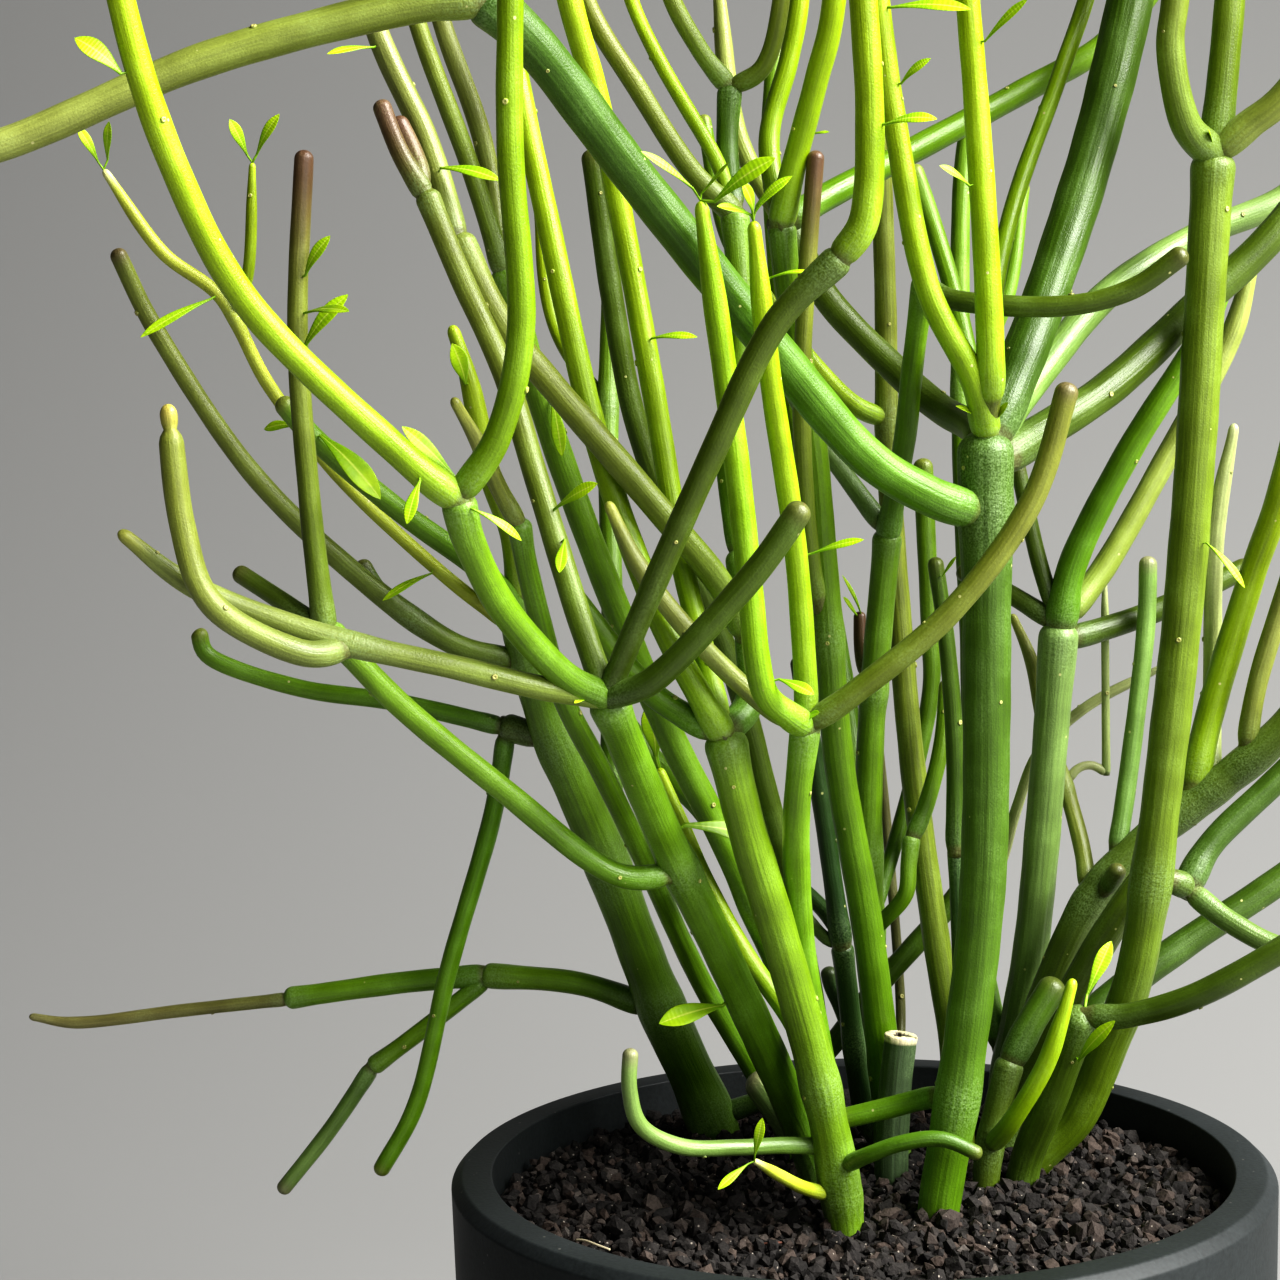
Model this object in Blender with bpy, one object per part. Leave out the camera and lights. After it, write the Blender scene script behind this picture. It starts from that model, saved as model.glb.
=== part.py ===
"""Potted euphorbia: a pencil-stemmed, bushy succulent grown from sixteen cuttings in one plain pot.

Metres, +Z up. The origin is the middle of the pot's flat underside. Every rooted stem is one
solid with its arms, the grit bed has a blind hole for each of them, and each large leaf is a
solid of its own. Routes and girths are written in whole or half millimetres.
"""
import math

import bpy
import bmesh
from mathutils import Vector

MM = 0.001
GAP = 0.0003                    # kept between pieces that touch
HOLE_GAP = 1.3 * GAP            # a little more round a stem, whose facets turn against the hole's

POT_HEIGHT = 0.180
POT_TOP_RADIUS = 0.100          # the body just under the rim's chamfer
POT_TAPER = math.radians(1.0)   # lean of the outer wall, each side
POT_WALL = 0.010                # at the rim, measured from the body's outside
RIM_CHAMFER = 0.0025
FOOT_CHAMFER = 0.0015
POT_FLOOR = 0.009
POT_SEGMENTS = 48

GRIT_EDGE_DEPTH = 0.0105        # the grit lies this far below the rim at the wall
GRIT_MOUND = 0.0035             # and rises this much to the middle
MOUND_RINGS = (0.85, 0.6, 0.3, 0.0)

RING_STEP = 0.027               # spacing of a stem's rings along its route
THICK_GIRTH = 7.0 * MM          # stems at least this thick get more sides
THICK_SIDES = 8
THIN_SIDES = 6
TIP_LENGTH = 0.5                # a domed end, as shares of the shoot's radius there
TIP_RADIUS = 0.62

LEAF_THICKNESS = 0.0009
LEAF_ARCH = 0.06                # how far a leaf's middle rises, as a share of its length
LEAF_FACING = (0.0, -0.8, 0.6)
LEAF_SECTIONS = ((0.0, 0.3), (0.3, 0.8), (0.6, 1.0), (0.85, 0.62), (1.0, 0.14))  # place, breadth

# Every stem is a list of shoots, the trunk first. A shoot is its girth at the start, its girth at
# the end, and its route in mm. An arm's first point lies inside the shoot that it grows from.
STEMS = {
    "stem_front": [
        (9.0, 8.6, [(-5, -31, 142), (-6, -32, 172), (-11, -37, 205), (-20, -45, 242), (-28, -53, 271),
         (-33, -58, 294)]),
        (5.8, 5.0, [(-33, -58, 293), (-38, -60, 302), (-47, -58, 321), (-59, -54, 358), (-69, -50, 408),
         (-75, -48, 441), (-78, -46, 468)]),
        (6.0, 5.0, [(-33, -58, 293), (-41, -56, 297), (-51, -55, 305), (-66, -53, 325)]),
        (6.5, 6.0, [(-33, -58, 293), (-27, -51, 299), (-26, -46, 311), (-28, -42, 333)]),
        (5.0, 6.0, [(-28, -42, 331), (-30, -38, 355), (-26, -34, 379), (-27, -30, 409)]),
        (6.0, 6.0, [(-26, -46, 311), (-33, -52, 326), (-47, -58, 344), (-69, -62, 371), (-79, -62, 384),
         (-88, -60, 403)]),
        (6.0, 4.4, [(-88, -60, 401), (-94, -55, 423), (-104, -56, 447), (-110, -57, 474)]),
        (5.0, 5.6, [(-33, -58, 293), (-36, -54, 308), (-41, -48, 331), (-46, -44, 366), (-52, -42, 404),
         (-57, -45, 432), (-63, -50, 456), (-66, -52, 486)]),
        (5.0, 4.0, [(-12, -37, 208), (-17, -23, 220), (-28, -17, 236), (-38, -15, 256), (-47, -15, 280)]),
        (6.5, 6.0, [(-9, -34, 186), (-9, -27, 201), (-15, -36, 238), (-17, -52, 271), (-15, -62, 296)]),
        (5.8, 5.0, [(-15, -62, 295), (-19, -66, 298), (-24, -70, 303), (-26, -73, 312), (-27, -74, 325),
         (-30, -77, 358), (-36, -83, 407)]),
        (5.2, 4.6, [(-15, -62, 295), (-15, -62, 307), (-17, -66, 336), (-22, -73, 372), (-25, -78, 403)]),
        (4.6, 4.0, [(-15, -62, 295), (-24, -62, 300), (-38, -64, 314), (-50, -65, 330), (-57, -65, 345)]),
        (5.4, 5.0, [(-15, -62, 295), (-4, -66, 303), (16, -70, 320), (33, -72, 343), (41, -74, 368)]),
        (4.0, 3.6, [(-8, -32, 192.5), (-20, -37, 194.5), (-32, -43, 196), (-44, -48, 198), (-53, -52, 204),
         (-55.5, -54, 213), (-55, -54, 222.5)]),
        (3.6, 2.4, [(-8, -33, 181), (-16, -39, 185), (-22, -47, 190.5), (-28, -57, 197)]),
        (4.0, 3.4, [(-8, -35, 188), (-2, -42, 193), (6, -46, 197), (15, -47, 198), (24, -47, 194)]),
        (5.0, 4.0, [(-27, -30, 408), (-37, -34, 418), (-48, -38, 435), (-59, -42, 454), (-65, -44, 480)]),
        (3.6, 3.2, [(-27, -30, 408), (-31, -26, 421), (-43, -24, 443), (-50, -24, 460), (-54, -24, 484)]),
        (5.2, 5.0, [(-27, -30, 408), (-28, -22, 423), (-27, -20, 438)]),
        (4.4, 3.8, [(-27, -20, 437), (-34, -22, 446), (-41, -24, 460), (-45, -25, 482)]),
        (4.2, 3.8, [(-27, -20, 437), (-19, -24, 442), (-15, -28, 458), (-12, -30, 488)]),
    ],
    "stem_front_left": [
        (9.0, 8.0, [(-8, -7, 142), (-10, -8, 176), (-18, -17, 200), (-34, -34, 240), (-46, -50, 269),
         (-58, -85, 305)]),
        (5.2, 4.6, [(-58, -85, 305), (-71, -92, 308), (-88, -96, 313), (-113, -100, 320),
         (-139, -104, 331), (-154, -106, 343)]),
        (5.4, 5.0, [(-109, -99, 318), (-119, -106, 318), (-135, -110, 328), (-140.5, -110, 344),
         (-142.5, -110, 368)]),
        (6.0, 6.5, [(-58, -85, 305), (-67, -92, 311), (-78, -100, 325), (-84, -108, 339),
         (-86, -112, 349)]),
        (6.0, 5.0, [(-86, -112, 348), (-96, -118, 357), (-122, -130, 385), (-134, -140, 411),
         (-141, -148, 440), (-145, -153, 478)]),
        (5.6, 4.8, [(-86, -112, 348), (-77, -116, 361), (-72, -120, 382), (-73, -124, 414),
         (-72, -128, 442), (-70, -131, 486)]),
        (5.4, 5.0, [(-58, -85, 305), (-64, -82, 324), (-72, -76, 352), (-78, -72, 373), (-87, -68, 394),
         (-94, -66, 412)]),
        (4.2, 4.0, [(-94, -66, 411), (-99, -66, 420), (-103, -66, 431)]),
        (4.2, 4.0, [(-94, -66, 411), (-96, -62, 419), (-100, -61, 428)]),
        (5.0, 5.6, [(-58, -85, 305), (-48, -94, 328), (-36, -102, 354), (-23, -108, 380),
         (-9, -112, 394)]),
        (6.0, 5.0, [(-10, -112, 393), (-5, -114, 401), (-4, -116, 419), (-5, -118, 441),
         (-8, -119, 490)]),
        (5.6, 5.4, [(-58, -85, 305), (-47, -92, 310), (-28, -98, 330), (-17, -102, 345)]),
        (5.4, 5.4, [(-43, -46, 260), (-59, -50, 262), (-82, -56, 282), (-103, -64, 302),
         (-118, -70, 320)]),
        (5.0, 4.0, [(-118, -70, 319), (-120, -72, 347), (-121, -74, 383), (-118, -76, 420)]),
        (4.2, 4.0, [(-118, -70, 319), (-127, -66, 325), (-138, -62, 332)]),
        (8.0, 8.0, [(-12, -10, 182), (-18, -6, 192), (-26, -4, 203)]),
    ],
    "stem_left_thin": [
        (5.5, 5.0, [(-14, 24, 142), (-16, 22, 178), (-38, 8, 224), (-50, -10, 255), (-60, -25, 280),
         (-69, -36, 301), (-75, -43, 327), (-77, -48, 341)]),
        (4.2, 3.8, [(-77, -48, 340), (-81, -50, 348), (-85, -54, 358), (-90, -58, 368)]),
    ],
    "stem_left_inner": [
        (7.5, 6.0, [(-4, 8, 142), (-4, 7, 176), (-14, -4, 216), (-30, -18, 258), (-45, -28, 291),
         (-59, -34, 328), (-71, -38, 365), (-79, -42, 397)]),
        (4.6, 3.8, [(-79, -42, 396), (-86, -44, 420), (-96, -48, 450), (-102, -50, 478)]),
        (4.6, 4.2, [(-79, -42, 396), (-83, -38, 425), (-92, -36, 454), (-96, -34, 484)]),
        (6.0, 5.4, [(-24, -13, 246), (-35, -4, 266), (-48, 4, 279), (-61, 8, 297)]),
    ],
    "stem_inner_thin": [
        (6.2, 5.0, [(-6, 19, 142), (-6, 18, 182), (-13, 8, 236), (-22, -6, 275), (-29, -16, 303),
         (-39, -24, 329), (-50, -28, 360), (-55, -30, 389), (-59, -32, 423)]),
    ],
    "stem_inner_bright": [
        (8.8, 6.0, [(10, 21, 142), (10, 20, 176), (4, 8, 233), (-3, 0, 276), (-6, -8, 313),
         (-9, -12, 356), (-14, -16, 389), (-16, -20, 407)]),
        (4.4, 4.0, [(-6, -7, 309), (-10, -14, 328), (-12, -20, 359), (-11, -24, 388), (-8, -26, 422)]),
        (5.8, 5.0, [(-16, -20, 406), (-13, -24, 419), (-8, -30, 437), (-4, -34, 454), (-1, -36, 492)]),
        (5.0, 4.4, [(-16, -20, 406), (-18, -14, 426), (-13, -12, 444), (-10, -12, 460), (-8, -10, 488)]),
        (6.4, 5.8, [(-16, -20, 406), (-4, -12, 413), (15, 0, 423), (44, 12, 438), (67, 18, 451),
         (86, 24, 474)]),
        (5.6, 5.2, [(9, 20, 176), (4, 24, 183), (2, 25, 194), (0, 22, 212), (-2, 18, 230)]),
        (5.0, 4.4, [(-2, 18, 229), (-5, 17, 254), (-8, 15, 276), (-12, 12, 303)]),
        (3.2, 3.0, [(-2, 18, 229), (-6, 20, 231), (-9, 23, 234), (-12, 25, 238)]),
        (4.4, 4.0, [(-2, 18, 232), (-5, 24, 236), (-9, 28, 240), (-13, 31, 243)]),
        (4.4, 4.2, [(1, 24, 203), (-1, 26, 210), (-4, 27, 217), (-5, 27, 222)]),
    ],
    "stem_cut_stump": [
        (8.6, 8.0, [(8, 3, 142), (8, 3, 172), (9, 3, 193), (11, 3, 210)]),
    ],
    "stem_centre": [
        (9.6, 11.4, [(14, -26, 142), (16, -26, 172), (22, -28, 209), (27, -32, 254), (28, -36, 308),
         (28, -38, 358)]),
        (8.6, 9.0, [(28, -38, 339), (14, -46, 344), (-1, -52, 354), (-19, -60, 375), (-48, -76, 411),
         (-68, -90, 437), (-80, -98, 448)]),
        (7.6, 5.6, [(-80, -98, 447), (-95, -100, 445), (-134, -104, 435), (-174, -108, 419),
         (-196, -111, 417), (-226, -113, 430)]),
        (6.0, 5.0, [(-80, -98, 447), (-94, -108, 464), (-100, -114, 498)]),
        (6.4, 5.0, [(-80, -98, 447), (-76, -96, 470), (-68, -92, 512)]),
        (7.6, 6.6, [(28, -38, 354), (28, -22, 358), (22, -2, 363), (12, 8, 373), (-3, 14, 390),
         (-12, 18, 408)]),
        (5.0, 4.4, [(-12, 18, 407), (-24, 22, 432), (-28, 24, 470)]),
        (10.0, 11.4, [(28, -38, 354), (35, -32, 368), (44, -22, 387), (58, -8, 422), (69, 0, 460),
         (74, 4, 490)]),
        (6.0, 5.0, [(74, 4, 488), (66, 0, 510), (64, -4, 545)]),
        (6.4, 5.0, [(74, 4, 488), (86, 10, 508), (92, 14, 540)]),
        (7.6, 6.4, [(28, -38, 354), (42, -20, 369), (62, -4, 389), (87, 12, 403), (110, 22, 412),
         (136, 30, 430)]),
        (9.0, 7.0, [(29, -38, 350), (43, -24, 357), (61, -12, 367), (82, -1, 384), (106, 3, 406),
         (128, 6, 440)]),
        (5.0, 4.4, [(128, 6, 438), (134, 6, 462), (134, 4, 492)]),
        (6.0, 4.6, [(28, -40, 358), (24, -47, 370), (14, -50, 390), (8, -52, 421), (4, -54, 451),
         (2, -56, 490)]),
        (6.5, 4.6, [(28, -40, 358), (28, -48, 371), (27, -51, 395), (25, -52, 429), (23, -54, 454),
         (20, -56, 500)]),
        (4.4, 3.8, [(28, -36, 356), (31, -18, 376), (39, -6, 408), (52, 4, 440), (62, 12, 466),
         (68, 14, 496)]),
        (4.6, 4.2, [(28, -36, 356), (25, -20, 383), (21, -10, 403), (16, -6, 420)]),
        (5.2, 5.0, [(20, -28, 203), (14, -20, 200), (5, -17, 197), (-7, -15.5, 194)]),
    ],
    "stem_back_centre": [
        (7.4, 6.6, [(9, 39, 142), (9, 38, 179), (6, 28, 239), (6, 18, 281), (10, 6, 334)]),
        (5.4, 5.0, [(10, 6, 333), (13, -8, 356), (14, -17, 372), (16, -27, 393)]),
        (4.8, 4.6, [(16, -27, 391), (23, -34, 387), (44, -42, 385), (59, -46, 388), (71, -50, 396)]),
        (4.8, 4.2, [(10, 6, 333), (1, 10, 346), (-7, 12, 358), (-14, 12, 372)]),
        (6.0, 5.0, [(6, 26, 250), (0, 50, 305), (-8, 78, 365), (-12, 92, 425), (-10, 96, 462)]),
        (4.6, 4.0, [(-10, 84, 388), (-24, 92, 410), (-30, 98, 444)]),
        (4.0, 4.0, [(6, 27, 231), (9, 21, 235), (14, 17, 242), (15, 17, 250), (16, 18, 257)]),
        (4.4, 3.8, [(16, 18, 256), (20, 19, 265), (24, 21, 279), (26, 24, 295)]),
        (3.8, 5.2, [(6, 29, 232), (12, 36, 247), (19, 43, 267), (24, 43, 290), (24, 43, 308),
         (23, 45, 350)]),
        (2.6, 2.6, [(10, 39, 184), (14, 46, 192), (16, 54, 206), (14, 58, 246), (12, 58, 270),
         (10, 58, 292)]),
        (3.2, 3.0, [(6, 15, 294), (4, 18, 302), (4, 20, 313)]),
    ],
    "stem_back_olive": [
        (7.6, 4.8, [(28, 28, 142), (28, 28, 188), (23, 30, 228), (18, 32, 271), (15, 34, 314),
         (13, 34, 355), (13, 34, 390), (12, 32, 430), (10, 32, 474)]),
        (5.0, 4.6, [(13, 34, 360), (3, 28, 365), (-9, 24, 378), (-18, 22, 393)]),
        (3.6, 3.6, [(28, 28, 194), (28, 22, 209), (27, 16, 232), (26, 12, 255)]),
        (4.8, 3.8, [(26, 12, 254), (26, 10, 279), (24, 6, 305), (21, 4, 327)]),
    ],
    "stem_back_right": [
        (9.4, 9.0, [(43, 46, 142), (43, 45, 184), (49, 42, 222), (53, 38, 267), (56, 34, 308)]),
        (7.6, 5.6, [(56, 34, 307), (60, 32, 325), (73, 26, 352), (89, 22, 378), (95, 22, 392)]),
        (6.4, 5.6, [(56, 34, 307), (69, 40, 322), (85, 44, 348), (102, 46, 378), (109, 46, 402)]),
        (4.4, 4.0, [(56, 34, 307), (51, 36, 324), (46, 38, 349)]),
        (5.2, 4.8, [(56, 34, 307), (44, 40, 315), (32, 48, 321)]),
        (6.4, 5.6, [(55, 34, 303), (67, 40, 305), (85, 46, 310), (109, 52, 320)]),
        (6.0, 5.0, [(43, 45, 188), (38, 54, 215), (37, 62, 250), (38, 72, 300), (38, 84, 350), (40, 94, 420),
         (46, 100, 452)]),
        (4.4, 4.0, [(38, 87, 366), (52, 94, 392), (58, 101, 424)]),
        (3.0, 2.8, [(38, 60, 236), (44, 62, 241), (48, 59, 256), (54, 56, 272), (67, 55, 284),
         (86, 52, 294)]),
    ],
    "stem_right": [
        (9.4, 9.4, [(38, 13, 142), (43, 13, 171), (55, 10, 186), (62, 6, 204), (69, 0, 229),
         (75, -6, 280), (80, -10, 335), (85, -14, 421)]),
        (7.0, 5.6, [(85, -14, 420), (77, -20, 427), (73, -24, 443), (74, -26, 457), (76, -28, 494)]),
        (7.6, 6.0, [(85, -14, 420), (87, -14, 437), (89, -14, 458), (92, -14, 500)]),
        (7.0, 5.6, [(85, -14, 420), (92, -18, 426), (101, -22, 434), (116, -28, 458), (120, -30, 492)]),
        (5.5, 5.5, [(73, -3, 249), (82, 2, 245)]),
        (6.6, 5.4, [(81, 2, 245), (89, 6, 256), (108, 9, 273), (134, 12, 300), (146, 14, 332)]),
        (5.6, 5.0, [(81, 2, 245), (91, -4, 237), (104, -8, 231), (124, -12, 230), (136, -14, 242)]),
    ],
    "stem_right_low": [
        (9.0, 8.0, [(38, 30, 142), (39, 30, 180), (49, 28, 209), (62, 30, 236), (78, 30, 253),
         (96, 28, 267), (111, 25, 281), (132, 24, 308)]),
        (5.0, 4.6, [(131, 24, 306), (142, 28, 330), (144, 28, 362)]),
        (8.0, 7.6, [(38, 29, 184), (50, 16, 207), (64, 14, 232), (79, 16, 252)]),
        (7.5, 6.0, [(87, 29, 259), (94, 31, 286), (104, 30, 319), (111, 28, 341), (120, 26, 382)]),
        (5.2, 4.6, [(101, 27, 272), (104, 24, 293), (112, 20, 323), (117, 18, 350)]),
        (5.0, 4.6, [(68, 30, 242), (73, 35, 266), (78, 36, 303), (79, 36, 324)]),
        (4.6, 3.4, [(62, 30, 236), (62, 38, 248), (59, 46, 264), (54, 48, 280), (51, 48, 296),
         (46, 49, 309)]),
        (5.0, 4.4, [(93, 28, 264), (96, 40, 286), (97, 40, 328), (102, 40, 357)]),
        (8.6, 7.0, [(40, 31, 178), (50, 36, 190), (66, 41, 206), (89, 46, 221), (117, 50, 238),
         (142, 55, 256)]),
        (5.0, 4.4, [(141, 55, 255), (150, 52, 272), (154, 50, 300)]),
        (4.6, 4.6, [(62, 30, 236), (66, 26, 241), (69, 23, 247)]),
        (2.4, 2.2, [(59, 46, 264), (62, 47, 268), (66, 48, 269), (70, 48, 267)]),
        (2.2, 2.0, [(70, 48, 267), (70, 48, 288), (70, 48, 317)]),
    ],
    "stem_right_low_front": [
        (8.0, 8.0, [(38, 0, 142), (40, 0, 174), (46, -8, 196), (53, -16, 220)]),
        (5.8, 6.6, [(53, -16, 218), (63, -20, 219), (78, -26, 225), (98, -30, 237), (122, -33, 253),
         (140, -34, 276)]),
    ],
    "stem_short_front": [
        (6.6, 6.4, [(29, -6, 142), (30, -6, 172), (32, -6, 188), (37, -5, 206)]),
        (7.0, 7.0, [(37, -5, 205), (42, -4, 214), (49, -2, 224)]),
        (4.8, 4.4, [(31, -7, 184), (35, -17, 193), (42, -22, 207), (46, -24, 219), (49, -24, 229)]),
    ],
    "stem_back_left": [
        (13.0, 10.0, [(-32, 54, 142), (-34, 53, 172), (-47, 46, 207), (-62, 38, 252), (-74, 32, 285),
         (-81, 28, 315)]),
        (5.8, 5.0, [(-81, 28, 314), (-89, 20, 325), (-108, 8, 341), (-126, 0, 358), (-135, -4, 369)]),
        (3.6, 3.2, [(-80, 28, 308), (-100, 24, 325), (-123, 16, 349), (-139, 10, 372), (-149, 6, 393),
         (-163, 4, 405), (-175, 0, 424)]),
        (3.0, 2.6, [(-147, 7, 389), (-142, 3, 400), (-140, 2, 425)]),
        (6.0, 4.2, [(-78, 30, 301), (-98, 27, 307), (-122, 23, 326), (-146, 18, 352), (-166, 14, 385),
         (-175, 10, 406)]),
        (5.0, 4.8, [(-108, 26, 314), (-116, 29, 320), (-121, 31, 328)]),
        (6.4, 6.0, [(-72, 33, 280), (-87, 36, 285)]),
        (4.8, 4.4, [(-85, 36, 284), (-113, 38, 291), (-138, 40, 295), (-160, 40, 303), (-164, 40, 311)]),
        (5.0, 4.4, [(-85, 36, 285), (-90, 37, 260), (-102, 37, 222), (-111, 36, 188), (-122, 36, 168)]),
        (6.4, 6.0, [(-48, 46, 207), (-69, 50, 214), (-95, 54, 216)]),
        (6.0, 5.4, [(-94, 54, 216), (-117, 56, 214), (-148, 58, 210)]),
        (3.6, 3.2, [(-146, 58, 210), (-176, 60, 207), (-203, 62, 204), (-217, 62, 206)]),
        (4.6, 4.6, [(-92, 54, 216), (-111, 52, 202), (-125, 52, 192)]),
        (4.6, 4.0, [(-124, 52, 193), (-136, 52, 176), (-150, 52, 159)]),
        (6.0, 5.2, [(-81, 28, 314), (-82, 24, 333), (-87, 20, 350), (-91, 18, 372), (-95, 18, 386)]),
        (6.4, 5.0, [(-60, 39, 246), (-58, 62, 300), (-58, 84, 360), (-56, 94, 410), (-60, 98, 448)]),
        (4.4, 4.0, [(-58, 86, 364), (-72, 96, 388), (-76, 100, 420)]),
        (5.6, 5.4, [(-36, 53, 177), (-27, 52, 179), (-15, 48, 185), (-4, 45, 196), (8, 42, 212), (27, 42, 233),
         (38, 42, 248)]),
    ],
}

# Each leaf is its base, its tip and its greatest width, in mm.
LEAVES = [
    ((-141.8, -147.2, 427.3), (-149, -149.5, 434), 4.0),
    ((-176.2, -0.2, 425.8), (-180, -3, 434), 2.4),
    ((-174.0, 0.3, 426.3), (-172, -4, 435), 2.2),
    ((-141.2, 2, 426.8), (-145, 0, 435), 2.8),
    ((-138.8, 2, 427), (-133, 0, 436), 2.8),
    ((-118.6, -76.8, 394), (-113.5, -80, 402), 2.8),
    ((-119.5, -76.6, 379), (-110, -79, 390), 3.6),
    ((-118.2, -76.6, 386.5), (-108, -87, 385), 2.6),
    ((-150.8, 3.6, 393.4), (-167, -3, 383), 2.8),
    ((-131.5, 1.2, 362.5), (-140, 4, 362), 3.0),
    ((-125.5, -3.2, 360), (-111, -10, 346), 5.6),
    ((-91, -60, 417), (-78, -65, 414), 3.0),
    ((-104.6, -58.4, 443), (-114, -65, 440), 2.0),
    ((-86.6, -108.6, 352.2), (-97, -109, 362), 3.2),
    ((-92.5, -119.6, 352), (-95, -124, 344), 2.4),
    ((-83, -114, 346), (-73, -112, 340), 2.0),
    ((-102, 21, 325), (-114, 16, 319), 2.2),
    ((-67.5, -80.5, 344.5), (-58, -85, 349), 3.2),
    ((-65.8, -82.8, 338), (-67, -88, 331), 2.4),
    ((-91.8, 14.6, 371.5), (-94, 8, 381), 4.2),
    ((-69, -40.8, 368), (-67, -45, 355), 3.0),
    ((-46.5, -45.8, 380), (-36.5, -50, 380), 2.0),
    ((-13.2, -65.8, 332.8), (-2, -70, 335), 2.0),
    ((-21.2, -71.6, 306.4), (-14, -75, 303), 2.8),
    ((-47.6, -15.6, 282.9), (-48.5, -20, 296), 5.4),
    ((-41.8, -49.4, 271.8), (-20.5, -40, 266), 5.6),
    ((-33.6, -30, 226), (-48.5, -36, 223.5), 5.0),
    ((-28, -58.4, 198.6), (-26, -60, 208), 2.2),
    ((-29.6, -57.8, 196.5), (-36.5, -62, 192), 2.0),
    ((82.6, -14.6, 330), (91, -19, 320), 2.0),
    ((51.2, -17.2, 207.5), (57, -27, 219), 3.2),
    ((54.2, -12, 222.3), (61, -7, 234), 3.6),
    ((-37.6, -84.4, 409.4), (-49, -89, 416), 2.2),
    ((-33.2, -84.6, 406.6), (-20.5, -89, 414.5), 4.4),
    ((-1, -118, 418), (8, -122, 419), 2.6),
    ((8.5, -55, 433), (14, -59, 438), 2.2),
    ((6.4, -56.4, 449), (23, -61, 447), 3.4),
    ((26.6, -55.4, 441.5), (36, -60, 449), 2.2),
    ((23, -54, 411), (16, -58, 415), 2.2),
    ((-24.4, -79.2, 406), (-17.5, -82, 412), 2.0),
]


def clear_scene():
    for old in list(bpy.data.objects):
        bpy.data.objects.remove(old)


def material(name, colour, roughness):
    mat = bpy.data.materials.new(name)
    mat.use_nodes = True
    shader = mat.node_tree.nodes["Principled BSDF"]
    shader.inputs["Base Color"].default_value = (*colour, 1.0)
    shader.inputs["Roughness"].default_value = roughness
    return mat


def add_object(name, bm, mat):
    """Turn a bmesh into a named, smooth-shaded object with its own material."""
    mesh = bpy.data.meshes.new(name)
    bmesh.ops.recalc_face_normals(bm, faces=bm.faces)
    bm.to_mesh(mesh)
    bm.free()
    mesh.shade_smooth()
    mesh.set_sharp_from_angle(angle=math.radians(35.0))
    obj = bpy.data.objects.new(name, mesh)
    bpy.context.scene.collection.objects.link(obj)
    mesh.materials.append(mat)
    return obj


def as_tool(obj):
    """Hide an object that only cuts or joins another one."""
    obj.hide_render = True
    obj.display_type = "WIRE"
    return obj


def turned(name, profile, mat):
    """Spin an (r, z) outline, whose first and last points lie on the axis, about +Z."""
    bm = bmesh.new()
    edge = [bm.verts.new((radius, 0.0, height)) for radius, height in profile]
    rows = [bm.edges.new(pair) for pair in zip(edge, edge[1:])]
    bmesh.ops.spin(bm, geom=edge + rows, axis=(0.0, 0.0, 1.0), cent=(0.0, 0.0, 0.0),
                   angle=2.0 * math.pi, steps=POT_SEGMENTS, use_merge=True)
    bmesh.ops.remove_doubles(bm, verts=bm.verts, dist=1e-6)
    return add_object(name, bm, mat)


def smooth_route(points, step):
    """Points about one step apart on the smooth curve that runs through all the given points."""
    knots = [Vector(point) * MM for point in points]
    ends = [2.0 * knots[0] - knots[1]] + knots + [2.0 * knots[-1] - knots[-2]]
    route = [knots[0]]
    for before, start, end, after in zip(ends, ends[1:], ends[2:], ends[3:]):
        pieces = max(1, round((end - start).length / step))
        for piece in range(1, pieces + 1):
            t = piece / pieces
            route.append(0.5 * (2.0 * start + (end - before) * t
                                + (2.0 * before - 5.0 * start + 4.0 * end - after) * t ** 2
                                + (3.0 * start - before - 3.0 * end + after) * t ** 3))
    return route


def tube(name, points, girth_start, girth_end, mat, extra=0.0, flat_end=False):
    """A round shoot along its route, tapering evenly, with a domed end unless it was cut."""
    route = smooth_route(points, RING_STEP)
    sides = THICK_SIDES if max(girth_start, girth_end) * MM >= THICK_GIRTH else THIN_SIDES
    count = len(route)
    radii = [0.5 * MM * (girth_start + (girth_end - girth_start) * i / (count - 1)) + extra
             for i in range(count)]
    heading = (route[-1] - route[-2]).normalized()
    if not flat_end:
        tip = radii[-1]
        route[-1] = route[-1] - heading * TIP_LENGTH * tip
        route.append(route[-1] + heading * TIP_LENGTH * tip)
        radii.append(TIP_RADIUS * tip)
    bm = bmesh.new()
    side = (route[1] - route[0]).orthogonal().normalized()
    previous = None
    for i, (centre, radius) in enumerate(zip(route, radii)):
        ahead = (route[min(i + 1, len(route) - 1)] - route[max(i - 1, 0)]).normalized()
        side = (side - ahead * side.dot(ahead)).normalized()
        across = ahead.cross(side)
        ring = [bm.verts.new(centre + radius * (side * math.cos(turn) + across * math.sin(turn)))
                for turn in (2.0 * math.pi * k / sides for k in range(sides))]
        if previous is None:
            bm.faces.new(ring)
        else:
            for k in range(sides):
                bm.faces.new((previous[k - 1], previous[k], ring[k], ring[k - 1]))
        previous = ring
    bm.faces.new(previous)
    return add_object(name, bm, mat)


def join_all(body, tools, operation):
    """Join tools to a body, or cut them out of it, as one exact Boolean over a collection."""
    group = bpy.data.collections.new(body.name + "_" + operation.lower())
    bpy.context.scene.collection.children.link(group)
    for tool in tools:
        bpy.context.scene.collection.objects.unlink(tool)
        group.objects.link(as_tool(tool))
    boolean = body.modifiers.new(operation.title(), "BOOLEAN")
    boolean.operation = operation
    boolean.operand_type = "COLLECTION"
    boolean.collection = group
    boolean.solver = "EXACT"


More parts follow.
